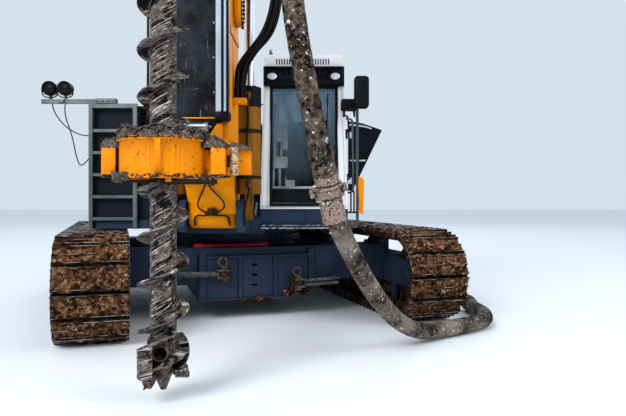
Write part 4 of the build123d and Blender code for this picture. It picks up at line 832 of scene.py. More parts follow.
SUPPLY_ROUTE = (
    (0.39, -2.9, 2.35), (0.39, -2.9, 2.52), (0.418, -2.92, 2.65),
    (0.52, -2.97, 2.77), (0.64, -3.02, 2.9), (0.715, -3.06, 3.1),
    (0.745, -3.09, 3.4), (0.745, -3.11, 3.85), (0.725, -3.14, 4.5),
    (0.69, -3.16, 5.5), (0.65, -3.18, 6.9), (0.655, -3.19, 8.5),
    (0.632, -3.2, 10.2), (0.644, -3.19, 11.9), (0.622, -3.21, 13.6),
    (0.626, -3.22, 15.2), (0.6, -3.25, 16.6), (0.548, -3.3725, 17.6),
    (0.548, -3.3725, 18.15),
)


class RIG_OT_hoses(bpy.types.Operator):
    """The concrete hose in its two runs, and the bundle of supply hoses."""
    bl_idname = "rig.hoses"
    bl_label = "Hoses"

    def execute(self, context):
        radius = sizes().hose_diameter / 2
        # name, route, rings per point, body, node
        runs = (
            ("concrete_hose_mast", CONCRETE_ROUTE, 30, "concrete_hose_upper", 0.0022),
            ("concrete_hose_ground", GROUND_ROUTE, 40, "concrete_hose_lower", 0.0026),
        )
        for name, route, rings, node, crust in runs:
            bm = bmesh.new()
            add_hose(bm, route, radius - 0.003, rings, 10)
            bm.normal_update()
            ends = (Vector(route[0]), Vector(route[-1]))
            for point in bm.verts:
                near = min((point.co - end).length for end in ends)
                if near > radius * 1.6:
                    lump = noise.fractal(point.co / 0.05, 0.8, 2.1, 4)
                    rib = math.sin(point.co.length * 160) if node == "concrete_hose_lower" else 0.0
                    point.co += point.normal * (crust * lump + 0.0008 * rib + 0.001)
                    point.co.z = max(point.co.z, 0.003)
            body = nodes[node]["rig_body"]
            piece = place_piece(name, bm, "grouted_rubber", body, (node,), 60)
            if node == "concrete_hose_upper":
                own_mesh(piece)
            else:
                piece.parent = None
                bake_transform(piece)

        hose = sizes().bundle_hose / 2
        draws = random.Random(5)
        bm = bmesh.new()
        for index in range(7):
            turn = 2 * math.pi * index / 6
            spread = 0.0 if index == 6 else 0.036
            offset = Vector((math.cos(turn), math.sin(turn), 0)) * spread
            points = []
            for number, point in enumerate(SUPPLY_ROUTE):
                loose = 0.0 if number in (0, 1, len(SUPPLY_ROUTE) - 1) else 0.014
                wander = Vector((draws.uniform(-1, 1), draws.uniform(-1, 1), 0)) * loose
                points.append(Vector(point) + offset + wander)
            add_hose(bm, points, hose, 10, 3)
        piece = place_piece("supply_hose_bundle", bm, "black_rubber", "mast",
                            ("supply_hoses",), 60)
        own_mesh(piece)
        return {"FINISHED"}


# Eyes that the draw gear is pinned to, on the straight undercarriage: across and up
TOW_EYES = ((-0.42, 0.56), (0.47, 0.42))


def lump(bm, centre, size, seed, rough=0.28, level=2):
    """A crumb of soil: a faceted ball drawn out to its size and broken up by noise."""
    centre = Vector(centre)
    made = bmesh.ops.create_icosphere(bm, subdivisions=level, radius=1.0)["verts"]
    shift = Vector((seed * 3.1, seed * 1.3, seed * 2.7))
    for point in made:
        swell = 1 + rough * noise.fractal(point.co * 1.6 + shift, 0.8, 2.1, 3)
        point.co = centre + Vector([point.co[axis] * size[axis] * swell for axis in range(3)])


# Rise of the soil on the guide's top flange by degrees round the auger, for the gate and the back half
GATE_HEAP = ((182, 0.03), (195, 0.062), (208, 0.108), (222, 0.084), (249, 0.056), (262, 0.074), (277, 0.094),
             (295, 0.066), (322, 0.062), (343, 0.088), (356, 0.04))
BACK_HEAP = ((3, 0.04), (20, 0.09), (60, 0.052), (100, 0.04), (140, 0.06), (165, 0.085), (178, 0.03))


def along_table(table, place):
    """A table's value at a place between two of its rows."""
    for (first, value), (second, after) in zip(table, table[1:]):
        if place <= second:
            return value + (after - value) * (place - first) / (second - first)
    return table[-1][1]


def add_soil_patch(bm, low, high, level, rise, seed, cells=(40, 16)):
    """A heap of soil on a flat rectangle, its rim let down over the edge."""
    before = set(bm.verts)
    bmesh.ops.create_grid(bm, x_segments=cells[0], y_segments=cells[1], size=0.5)
    for point in new_points(bm, before):
        along, across = point.co.x + 0.5, point.co.y + 0.5
        crown = max(0.0, (1 - (2 * along - 1) ** 4) * (1 - (2 * across - 1) ** 4)) ** 0.5
        place = Vector((low[0] + along * (high[0] - low[0]), low[1] + across * (high[1] - low[1]), 0))
        lumps = noise.fractal(place / 0.03 + Vector((seed, 0, 0)), 0.8, 2.1, 4)
        slope = rise(along) if callable(rise) else rise
        height = crown * slope * (0.85 + 0.5 * max(-0.8, min(0.8, lumps))) - 0.012 * (1 - crown)
        edge = 0.006 * noise.noise(place / 0.02)
        point.co = place + Vector((edge, edge, level + height))


class RIG_OT_guide_soil(bpy.types.Operator):
    """Soil heaped on the auger guide and hanging under it, split where the gate opens."""
    bl_idname = "rig.guide_soil"
    bl_label = "Guide soil"

    def execute(self, context):
        flange_top, flange_low = 1.856, 1.578
        # name, body, table of heights, way from the hinge line
        halves = (("guide_heap_gate", "guide_gate", GATE_HEAP, -1), ("guide_heap_back", "mast", BACK_HEAP, 1))
        for name, body, table, way in halves:
            draws = random.Random(len(name))
            first, last = table[0][0], table[-1][0]
            bm = bmesh.new()
            bmesh.ops.create_grid(bm, x_segments=190, y_segments=26, size=0.5)
            for point in bm.verts:
                degree = first + (point.co.x + 0.5) * (last - first)
                turn = math.radians(degree)
                share = point.co.y + 0.5
                reach = 0.207 + share * 0.116
                place = spoke(turn, reach)
                rag = noise.fractal(place / 0.05, 0.8, 2.1, 3) + 0.5 * noise.fractal(place / 0.014, 0.8, 2.1,
                                                                                     3)
                crown = max(0.0, 1 - (2 * share - 0.9) ** 2) ** 0.45
                height = -0.008 + crown * along_table(table, degree) * (0.9 + 0.34 * max(-1.0, min(1.0, rag)))
                reach += 0.007 * noise.fractal(Vector((turn * 12, share, 4)), 0.8, 2.1, 3)
                point.co = AUGER_AXIS + spoke(turn, reach, flange_top + height)
            for number in range(150):
                degree = draws.uniform(first + 3, last - 3)
                turn = math.radians(degree)
                share = draws.uniform(0.08, 0.96)
                reach = 0.207 + share * 0.116
                size = draws.uniform(0.005, 0.016)
                lift = max(0.0, 1 - (2 * share - 0.9) ** 2) ** 0.45 * along_table(table, degree) * 0.92
                place = AUGER_AXIS + spoke(turn, reach, flange_top + lift)
                lump(bm, place, (size, size * draws.uniform(0.7, 1.2), size * 0.8), number, level=1)
            # crumbs that cling to the flanges' edges, thicker below than above
            for number in range(150):
                degree = draws.uniform(first + 3, last - 3)
                turn = math.radians(degree)
                low = number % 3 > 0
                size = draws.uniform(0.004, 0.013)
                level = flange_low + draws.uniform(-0.004, 0.028) if low else flange_top - draws.uniform(0.0,
                                                                                                         0.01)
                place = AUGER_AXIS + spoke(turn, 0.317, level)
                lump(bm, place, (size * 1.3, size * 1.3, size * 0.8), number + 200, level=1)
            # a clump hangs under the left of the gate
            for number in range(26 if way < 0 else 8):
                turn = math.radians(draws.uniform(192, 236) if way < 0 else draws.uniform(130, 165))
                size = draws.uniform(0.014, 0.034)
                reach = draws.uniform(0.295, 0.335)
                place = AUGER_AXIS + spoke(turn, reach, draws.uniform(1.568, 1.612))
                lump(bm, place, (size, size, size * 0.75), number + 400, level=2)
            near, far = sorted((AUGER_AXIS.y + way * 0.006, AUGER_AXIS.y + way * 0.108))
            add_soil_patch(bm, (-0.412, near), (-0.275, far), 1.802, 0.062, 3)
            add_soil_patch(bm, (0.29, near), (0.462, far), 1.802, lambda along: 0.1 - 0.06 * along, 8)
            for side, low, high in ((-1, -0.4, -0.3), (1, 0.3, 0.45)):
                for number in range(14):
                    size = draws.uniform(0.008, 0.02)
                    place = (draws.uniform(low, high), AUGER_AXIS.y + way * draws.uniform(0.06, 0.104),
                             1.6 - size * 0.3)
                    lump(bm, place, (size * 1.3, size, size * 0.7), number + 300 * (side + 2), level=1)
            if way > 0:
                add_soil_patch(bm, (0.452, -4.15), (0.622, -4.015), 1.802,
                               lambda along: 0.052 - 0.046 * along, 12)
            bmesh.ops.recalc_face_normals(bm, faces=bm.faces[:])
            place_piece(name, bm, "grey_soil", body, smooth=70)

        bm = bmesh.new()
        for side, low, high in ((-1, -0.404, -0.304), (1, 0.352, 0.452)):
            add_box(bm, (low, -4.256, 1.606), (high, -4.249, 1.799), 0.003)
        place_piece("guide_gate_plates", bm, "muddy_enamel", "guide_gate")
        bm = bmesh.new()
        # the hinge's knuckle, its enamel rubbed off
        add_lathe(bm, [(0.0, 0.0), (0.0345, 0.0), (0.0345, 0.09), (0.031, 0.094), (0.031, 0.098),
                       (0.0345, 0.102),
                       (0.0345, 0.197), (0.0, 0.197)], (0.497, -4.15, 1.603), (0, 0, 1), 32)
        place_piece("gate_knuckle", bm, "rubbed_enamel", "guide_gate")

        bm = bmesh.new()
        add_bar(bm, (0.055, -4.4, 1.552), (0.42, -4.4, 1.552), 0.0185, sides=20)
        add_bar(bm, (0.38, -4.4, 1.552), (0.405, -4.4, 1.552), 0.026, sides=6)
        add_bar(bm, (-0.22, -4.38, 1.555), (0.02, -4.38, 1.555), 0.01, sides=12)
        place_piece("guide_gate_rod", bm, "cast_steel", "guide_gate")
        return {"FINISHED"}


class RIG_OT_auger_tip(bpy.types.Operator):
    """The outlet's rim, the pick in its holder, chisel teeth and soil at the auger's tip."""
    bl_idname = "rig.auger_tip"
    bl_label = "Auger tip"

    def execute(self, context):
        bm = bmesh.new()
        hole = AUGER_AXIS + Vector((0, -0.074, 0.365))
        add_lathe(bm, [(0.049, 0.0), (0.049, 0.026), (0.056, 0.028), (0.062, 0.02), (0.064, 0.0)],
                  hole, (0, -1, 0), 40)
        # a round pick and its holder under the left wing
        holder = AUGER_AXIS + Vector((-0.06, -0.085, 0.19))
        nose = AUGER_AXIS + Vector((-0.098, -0.16, 0.132))
        heading = (nose - holder).normalized()
        add_lathe(bm, [(0.0, -0.03), (0.03, -0.024), (0.036, 0.01), (0.04, 0.05), (0.036, 0.062),
                       (0.022, 0.064), (0.015, 0.072), (0.0, 0.105)], holder, heading, 32)
        # chisel plate between the pick and the point
        low, high = 0.205, 0.28
        for degree in (264, 84):
            out = spoke(math.radians(degree))
            along = out.cross(Vector((0, 0, 1)))
            centre = AUGER_AXIS + out * 0.08
            outline = [centre + along * across + Vector((0, 0, up))
                       for across, up in ((-0.03, high), (0.03, high + 0.01), (0.026, low),
                                          (-0.022, low - 0.012))]
            add_prism(bm, outline, out * 0.018, 0.003)
        place_piece("tip_tools", bm, "worn_hard_steel", "auger")

        # the flight's leading turn with the plate that hangs from its rim, and a steep scoop across from it
        bm = bmesh.new()
        leading = [(0.09, -0.01), (0.13, -0.002), (0.17, 0.0), (0.183, 0.004), (0.183, 0.019), (0.17, 0.023),
                   (0.13, 0.024), (0.09, 0.036)]
        add_flight(bm, 0.33, 0.4, 96, leading, math.radians(172), 0.44)
        add_flight(bm, 0.25, 0.25, 96, [(0.085, 0.0), (0.182, 0.0), (0.182, 0.017), (0.085, 0.017)],
                   math.radians(-34), 0.78)
        bmesh.ops.recalc_face_normals(bm, faces=bm.faces[:])
        bm.normal_update()
        roughen(bm.verts, 0.0022, 0.025, 5.0)
        place_piece("tip_flights", bm, "scoured_steel", "auger", smooth=50)
        bm = bmesh.new()
        # the heel plate: its section is spun under the leading turn, then its edges are set to their heights
        first, step_angle, steps = 172, 6.2, 14
        section = [bm.verts.new(AUGER_AXIS + spoke(math.radians(first), reach, level))
                   for reach, level in ((0.168, 0.2), (0.18, 0.2), (0.182, 0.3), (0.166, 0.3))]
        edges = [bm.edges.new(pair) for pair in zip(section, section[1:] + section[:1])]
        bmesh.ops.spin(bm, geom=section + edges, cent=AUGER_AXIS, axis=(0, 0, 1),
                       angle=math.radians(step_angle * steps), steps=steps)
        bmesh.ops.holes_fill(bm, edges=[edge for edge in bm.edges if edge.is_boundary], sides=4)
        for point in bm.verts:
            out = point.co - AUGER_AXIS
            passed = math.degrees(math.atan2(out.y, out.x)) % 360 - first
            step = round(passed / step_angle)
            if point.co.z > 0.25:
                point.co.z = 0.334 + step * step_angle / 360 * 0.44
            else:
                point.co.z = 0.185 + 0.055 * max(0.0, 1 - step / 6) ** 2
        place_piece("tip_heel_plate", bm, "scoured_steel", "auger")

        bm = bmesh.new()
        draws = random.Random(17)
        for number in range(70):
            turn = draws.uniform(0, 2 * math.pi)
            height = draws.uniform(0.23, 0.47)
            place = AUGER_AXIS + spoke(turn, 0.092, height)
            if (place - hole).length < 0.085:
                continue
            size = draws.uniform(0.008, 0.022)
            lump(bm, place, (size, size, size * 1.2), number, level=2)
        place_piece("tip_soil", bm, "grey_soil", "auger", smooth=70)
        return {"FINISHED"}


def turned_point(across, along, height):
    """A place on the straight undercarriage, turned with it."""
    return UNDERCARRIAGE_TURN @ Vector((across, along, height))


def add_ring(bm, centre, axis, radius, wire, sides=28, wire_sides=10):
    """A ring of round wire."""
    axis = Vector(axis).normalized()
    across = axis.orthogonal().normalized()
    place = Matrix((axis, across, axis.cross(across))).transposed().to_4x4()
    place.translation = Vector(centre) + across * radius
    section = bmesh.ops.create_circle(bm, segments=wire_sides, radius=wire, matrix=place)["verts"]
    edges = list(dict.fromkeys(edge for corner in section for edge in corner.link_edges))
    bmesh.ops.spin(bm, geom=section + edges, cent=centre, axis=axis, angle=2 * math.pi, steps=sides,
                   use_merge=True)


class RIG_OT_carbody_gear(bpy.types.Operator):
    """Shackles, draw rods, the red lashing bar and the bolts of the slewing ring."""
    bl_idname = "rig.carbody_gear"
    bl_label = "Carbody gear"

    def execute(self, context):
        bow, rods, brackets = bmesh.new(), bmesh.new(), bmesh.new()
        # the left draw rod leads to the left, the right ones to the right
        for (across, height), way in zip(TOW_EYES, (-1, 1)):
            add_bar(bow, turned_point(across, -1.41, height - 0.078),
                    turned_point(across, -1.41, height + 0.088),
                    0.0265, sides=20)
            for end in (-0.086, 0.058):
                add_bar(bow, turned_point(across, -1.41, height + end),
                        turned_point(across, -1.41, height + end + 0.03), 0.042, sides=6 if end < 0 else 24)
            add_ring(bow, turned_point(across - 0.02, -1.425, height + 0.14),
                     UNDERCARRIAGE_TURN @ Vector((0, -1, 0)),
                     0.05, 0.009)
            near, far = sorted((across - way * 0.052, across + way * 0.085))
            rear_near, rear_far = sorted((across - way * 0.075, across + way * 0.05))
            fork, bracket = set(bow.verts), set(brackets.verts)
            for low, high in ((-0.056, -0.029), (0.029, 0.056)):
                add_box(bow, (near, -1.462, height + low), (far, -1.368, height + high), 0.008)
            add_box(bow, (far - 0.02 if way > 0 else near, -1.452, height - 0.05),
                    (far if way > 0 else near + 0.02, -1.378, height + 0.05), 0.006)
            add_box(brackets, (rear_near, -1.372, height - 0.085), (rear_far, -1.322, height + 0.095), 0.01)
            for bm, before in ((bow, fork), (brackets, bracket)):
                bmesh.ops.transform(bm, matrix=UNDERCARRIAGE_TURN, verts=new_points(bm, before))
            for rise in ((-0.024, 0.026) if way > 0 else (0.0,)):
                start = turned_point(across + way * 0.075, -1.425, height + rise)
                end = turned_point(across + way * 0.52, -1.4, height + rise + 0.01)
                add_bar(rods, start, end, 0.021 if way > 0 else 0.032, sides=18 if way > 0 else 4)
            # the rod's far end is held in a lug on the axle beam
            low = turned_point(across + way * 0.5, -1.4, height - 0.02)
            add_bar(rods, low, turned_point(across + way * 0.5, -1.27, height + 0.01), 0.024, sides=14)
        place_piece("draw_shackles", bow, "worn_hard_steel", "undercarriage")
        place_piece("draw_rods", rods, "galvanised_steel", "undercarriage")
        place_piece("draw_brackets", brackets, "rusted_steel", "undercarriage")
        # soil along the carbody's foot and under the right-hand rods
        draws = random.Random(41)
        soil = bmesh.new()
        for number in range(150):
            low = number % 3
            across = draws.uniform(-0.24, 0.12) if low == 0 else draws.uniform(0.3, 0.66)
            level = draws.uniform(0.236, 0.262) if low == 0 else draws.uniform(0.262, 0.335)
            size = draws.uniform(0.005, 0.017)
            lump(soil, turned_point(across, -1.345 - size * 0.4, level), (size * 1.5, size, size * 0.8),
                 number, level=1)
        place_piece("carbody_soil", soil, "dried_clay", "undercarriage", smooth=70)

        bm = bmesh.new()
        start, end = turned_point(-0.66, -1.02, 0.85), turned_point(0.1, -1.16, 0.862)
        run = (end - start).normalized()
        add_bar(bm, start, end, 0.03, sides=20)
        for place in (start, end):
            add_bar(bm, place - run * 0.055, place + run * 0.055, 0.041, sides=8)
        place_piece("lashing_bar", bm, "red_enamel", "undercarriage")
        bm = bmesh.new()
        for share in (0.08, 0.9):
            foot = start.lerp(end, share)
            add_box(bm, (foot.x - 0.05, foot.y - 0.04, 0.755), (foot.x + 0.05, foot.y + 0.04, 0.828), 0.012)
        # bolted covers on the axle beams, and bolts down the carbody's ribs
        for end_side in (-1, 1):
            for across in (-0.66, 0.66):
                add_bolts(bm, [turned_point(across, end_side * 1.344, height) for height in
                               (0.3, 0.42, 0.54, 0.66)],
                          UNDERCARRIAGE_TURN @ Vector((0, end_side, 0)), 0.011, 0.01)
            for side in (-1, 1):
                low = (side * 0.86 - 0.16, end_side * 1.27 - 0.006, 0.5)
                high = (side * 0.86 + 0.16, end_side * 1.27 + 0.006, 0.78)
                before = set(bm.verts)
                add_box(bm, low, high, 0.003)
                bmesh.ops.transform(bm, matrix=UNDERCARRIAGE_TURN, verts=new_points(bm, before))
                places = [turned_point(side * 0.86 + dx, end_side * 1.276, dz)
                          for dx in (-0.135, 0.135) for dz in (0.525, 0.64, 0.755)]
                add_bolts(bm, places, UNDERCARRIAGE_TURN @ Vector((0, end_side, 0)), 0.012, 0.012)
        place_piece("carbody_fittings", bm, "slate_paint", "undercarriage")

        bm = bmesh.new()
        for turn in around(60):
            out = spoke(turn)
            add_bar(bm, out * 0.858 + Vector((0, 0, 0.972)), out * 0.876 + Vector((0, 0, 0.972)), 0.013,
                    sides=6)
        place_piece("slew_ring_bolts", bm, "cast_steel", "upper")
        return {"FINISHED"}


class RIG_OT_track_gear(bpy.types.Operator):
    """Sprocket teeth, hub caps, roller ends and recoil covers inside the tracks."""
    bl_idname = "rig.track_gear"
    bl_label = "Track gear"

    def execute(self, context):
        caps = bmesh.new()
        teeth = bmesh.new()
        for side in (-1, 1):
            centre = side * TRACK_CENTRE
            # final drive at the rear, outside: a domed cover with two rings of bolts
            outer = centre + side * 0.255
            add_lathe(caps, [(0.0, 0.075), (0.095, 0.07), (0.13, 0.052), (0.142, 0.022), (0.205, 0.018),
                             (0.225, 0.0), (0.0, 0.0)], (outer, WHEEL_REACH, WHEEL_HEIGHT), (side, 0, 0), 48)
            for count, reach, level in ((12, 0.112, 0.062), (20, 0.188, 0.02)):
                places = circle_across(outer + side * level, WHEEL_REACH, WHEEL_HEIGHT, reach, around(count))
                add_bolts(caps, places, (side, 0, 0), 0.01, 0.014)
            # idler caps at the front, both sides
            for face in (-1, 1):
                hub = centre + face * 0.166
                add_lathe(caps, [(0.0, 0.04), (0.05, 0.036), (0.066, 0.018), (0.11, 0.014), (0.118, 0.0),
                                 (0.0, 0.0)], (hub, -WHEEL_REACH, WHEEL_HEIGHT), (face, 0, 0), 36)
                places = circle_across(hub + face * 0.014, -WHEEL_REACH, WHEEL_HEIGHT, 0.09, around(8))
                add_bolts(caps, places, (face, 0, 0), 0.009, 0.012)
                # roller ends in their brackets, and carrier roller ends
                for index in range(7):
                    place = -1.54 + index * 3.08 / 6
                    add_lathe(caps, [(0.0, 0.016), (0.026, 0.014), (0.034, 0.0), (0.0, 0.0)],
                              (hub, place, 0.262), (face, 0, 0), 20)
                    add_bolts(caps, [(hub, place + dy, 0.322) for dy in (-0.042, 0.042)], (face, 0, 0), 0.008,
                              0.01)
                # recoil cover with its bolts
                add_box(caps, (hub, -0.62, 0.47), (hub + face * 0.01, 0.02, 0.65), 0.004)
                add_bolts(caps, [(hub + face * 0.01, dy, dz) for dy in (-0.59, -0.4, -0.2, -0.01)
                                 for dz in (0.492, 0.628)], (face, 0, 0), 0.008, 0.01)
            # sprocket teeth between the rows of links
            for turn in around(20):
                out = Vector((0, math.cos(turn), math.sin(turn)))
                along = Vector((0, -math.sin(turn), math.cos(turn)))
                root = Vector((centre - 0.024, WHEEL_REACH, WHEEL_HEIGHT))
                outline = [root + out * 0.36 - along * 0.036, root + out * 0.36 + along * 0.036,
                           root + out * 0.4 + along * 0.02, root + out * 0.418 + along * 0.008,
                           root + out * 0.418 - along * 0.008, root + out * 0.4 - along * 0.02]
                add_prism(teeth, outline, Vector((0.048, 0, 0)))
        for bm in (caps, teeth):
            bmesh.ops.transform(bm, matrix=UNDERCARRIAGE_TURN, verts=bm.verts[:])
        place_piece("track_caps", caps, "slate_paint", "undercarriage")
        place_piece("sprocket_teeth", teeth, "cast_steel", "undercarriage")

        # bolt pairs and link pins that show on the inner face of each chain
        bm = bmesh.new()
        for side in (-1, 1):
            for index in range(SHOE_COUNT):
                along, up = loop_point((index + 0.5) * LOOP_LENGTH / SHOE_COUNT, -0.012)
                for row in (-0.104, 0.104):
                    inward = 0.02 if row > 0 else -0.02
                    add_bar(bm, (side * TRACK_CENTRE + row - inward, along, up),
                            (side * TRACK_CENTRE + row + inward * 0.35, along, up), 0.024, sides=12)
        bmesh.ops.transform(bm, matrix=UNDERCARRIAGE_TURN, verts=bm.verts[:])
        place_piece("link_pins", bm, "cast_steel", "undercarriage")
        return {"FINISHED"}


class RIG_OT_cradle_fittings(bpy.types.Operator):
    """Hydraulic hoses and manifold before the mast's cradle, pin caps and cross plate."""
    bl_idname = "rig.cradle_fittings"
    bl_label = "Cradle fittings"

    def execute(self, context):
        bm = bmesh.new()
        for side in (-1, 1):
            add_hose(bm, [(side * 0.012 - 0.02, -2.3, 1.585), (side * 0.03 - 0.02, -2.29, 1.545),
                          (side * 0.085 - 0.01, -2.215, 1.47), (side * 0.14, -2.165, 1.395),
                          (side * 0.135, -2.15, 1.33), (side * 0.07, -2.145, 1.292),
                          (side * 0.02, -2.145, 1.29)], 0.0085, 12, 3)
            add_hose(bm, [(side * 0.02, -2.15, 1.268), (side * 0.07, -2.152, 1.25),
                          (side * 0.13, -2.14, 1.262),
                          (side * 0.176, -2.128, 1.24), (side * 0.184, -2.11, 1.19),
                          (side * 0.184, -2.08, 1.15)], 0.0095, 12, 3)
            # drop hoses outside the lugs
            add_hose(bm, [(side * 0.405, -2.19, 1.56), (side * 0.4, -2.235, 1.5), (side * 0.372, -2.255, 1.4),
                          (side * 0.35, -2.25, 1.28), (side * 0.352, -2.2, 1.16)], 0.011, 12, 3)
        place_piece("cradle_hoses", bm, "black_rubber", "upper", smooth=60)

        bm = bmesh.new()
        add_box(bm, (-0.052, -2.152, 1.256), (0.052, -2.104, 1.304), 0.005)
        for across in (-0.036, -0.012, 0.012, 0.036):
            add_bar(bm, (across, -2.13, 1.298), (across, -2.13, 1.33), 0.01, sides=6)
            add_bar(bm, (across, -2.13, 1.326), (across, -2.13, 1.338), 0.006, sides=10)
        for side in (-1, 1):
            add_bar(bm, (side * 0.045, -2.145, 1.285), (side * 0.07, -2.145, 1.29), 0.011, sides=6)
        place_piece("cradle_manifold", bm, "cast_steel", "upper")

        bm = bmesh.new()
        for side in (-1, 1):
            # pin ends with their keeper plates: foot pin, tilt pin and the cylinders' lower pins
            for x, y, z, radius in ((0.338, -1.96, 1.255, 0.068), (0.447, -2.05, 1.3, 0.05)):
                add_lathe(bm, [(0.0, 0.018), (radius - 0.012, 0.018), (radius, 0.01), (radius, 0.0),
                               (0.0, 0.0)],
                          (side * x, y, z), (side, 0, 0), 32)
                add_box(bm, (side * (x + 0.004), y - 0.02, z + radius - 0.024),
                        (side * (x + 0.022), y + 0.02, z + radius + 0.045), 0.003)
                add_bolts(bm, [(side * (x + 0.02), y, z + radius + 0.03)], (side, 0, 0), 0.01, 0.01)
        place_piece("foot_pins", bm, "worn_hard_steel", "upper")

        bm = bmesh.new()
        for side in (-1, 1):
            add_lathe(bm, [(0.0, 0.016), (0.05, 0.016), (0.058, 0.006), (0.058, 0.0), (0.0, 0.0)],
                      (side * 0.33, -2.8, 1.8), (side, 0, 0), 32)
            add_bolts(bm, circle_across(side * 0.346, -2.8, 1.8, 0.036, (0.5, 2.6, 4.7)),
                      (side, 0, 0), 0.008, 0.008)
        place_piece("tilt_pin_caps", bm, "machined_steel", "upper")

        bm = bmesh.new()
        # cross plate on the deck's front edge, with its row of bolts and cable clips
        add_box(bm, (-0.262, -1.545, 1.095), (0.262, -1.498, 1.172), 0.006)
        add_bolts(bm, [(-0.235 + 0.094 * index, -1.545, 1.15) for index in range(6)], (0, -1, 0), 0.01, 0.01)
        for side in (-1, 1):
            add_bolts(bm, [(side * 0.48, -1.5 - 0.002, 1.115 + 0.03 * row) for row in range(2)], (0, -1, 0),
                      0.009, 0.01)
            add_box(bm, (side * 0.35 - 0.006, -2.14, 1.335), (side * 0.35 + 0.006, -1.8, 1.395), 0.003)
        place_piece("deck_front_plate", bm, "slate_paint", "upper")
        bm = bmesh.new()
        draws = random.Random(29)
        for number in range(170):
            size = draws.uniform(0.004, 0.01)
            across = draws.uniform(0.47, 1.44)
            ledge = number % 4 == 0
            place = (across, -1.519, draws.uniform(1.122, 1.127) if ledge else draws.uniform(1.086, 1.098))
            lump(bm, place, (size * 2.4, size * 0.5, size * 0.6), number, level=1)
        place_piece("cab_lip_soil", bm, "dried_grout", "upper", smooth=70)
        return {"FINISHED"}


class RIG_OT_cylinder_fittings(bpy.types.Operator):
    """Glands, clamps, hoses and fittings of the two luffing cylinders."""
    bl_idname = "rig.cylinder_fittings"
    bl_label = "Cylinder fittings"

    def execute(self, context):
        spacing, along = 0.385, -2.05
        glands, fittings, hoses = bmesh.new(), bmesh.new(), bmesh.new()
        for side in (-1, 1):
            x = side * spacing
            add_lathe(glands, [(0.0515, 2.618), (0.07, 2.618), (0.078, 2.606), (0.122, 2.604),
                               (0.1275, 2.598),
                               (0.1275, 2.4), (0.126, 2.392)], (x, along, 0), (0, 0, 1), 48)
            add_bolts(glands, [(x + 0.098 * math.cos(turn), along + 0.098 * math.sin(turn), 2.604)
                               for turn in around(8)], (0, 0, 1), 0.011, 0.012)
            for low, high in ((2.118, 2.158), (1.64, 1.672)):
                add_lathe(fittings, [(0.1255, low), (0.1295, low), (0.1295, high), (0.1255, high)],
                          (x, along, 0), (0, 0, 1), 48)
                add_box(fittings, (x - 0.026, along - 0.168, low), (x + 0.026, along - 0.124, high), 0.004)
                add_bolts(fittings, [(x + dx, along - 0.168, (low + high) / 2) for dx in (-0.014, 0.014)],
                          (0, -1, 0), 0.007, 0.008)
            # elbows out of both ports
            for z, way in ((2.5, -1), (1.56, 1)):
                add_bar(fittings, (x, along - 0.155, z), (x, along - 0.195, z), 0.017, sides=6)
                add_bar(fittings, (x, along - 0.188, z), (x, along - 0.188, z + way * 0.05), 0.014, sides=12)
                add_bar(fittings, (x, along - 0.188, z + way * 0.028), (x, along - 0.188, z + way * 0.045),
                        0.019, sides=6)
            add_hose(hoses, [(x, along - 0.188, 2.455), (x, along - 0.19, 2.38),
                             (x + side * 0.012, along - 0.186, 2.24),
                             (x - side * 0.01, along - 0.182, 2.05), (x + side * 0.014, along - 0.184, 1.85),
                             (x + side * 0.004, along - 0.186, 1.72), (x, along - 0.188,
                                                                       1.65)], 0.0105, 10, 3)
        place_piece("cylinder_glands", glands, "moulded_plastic", "luff_barrels")
        place_piece("cylinder_fittings", fittings, "cast_steel", "luff_barrels")
        place_piece("cylinder_hoses", hoses, "black_rubber", "luff_barrels", smooth=60)
        return {"FINISHED"}


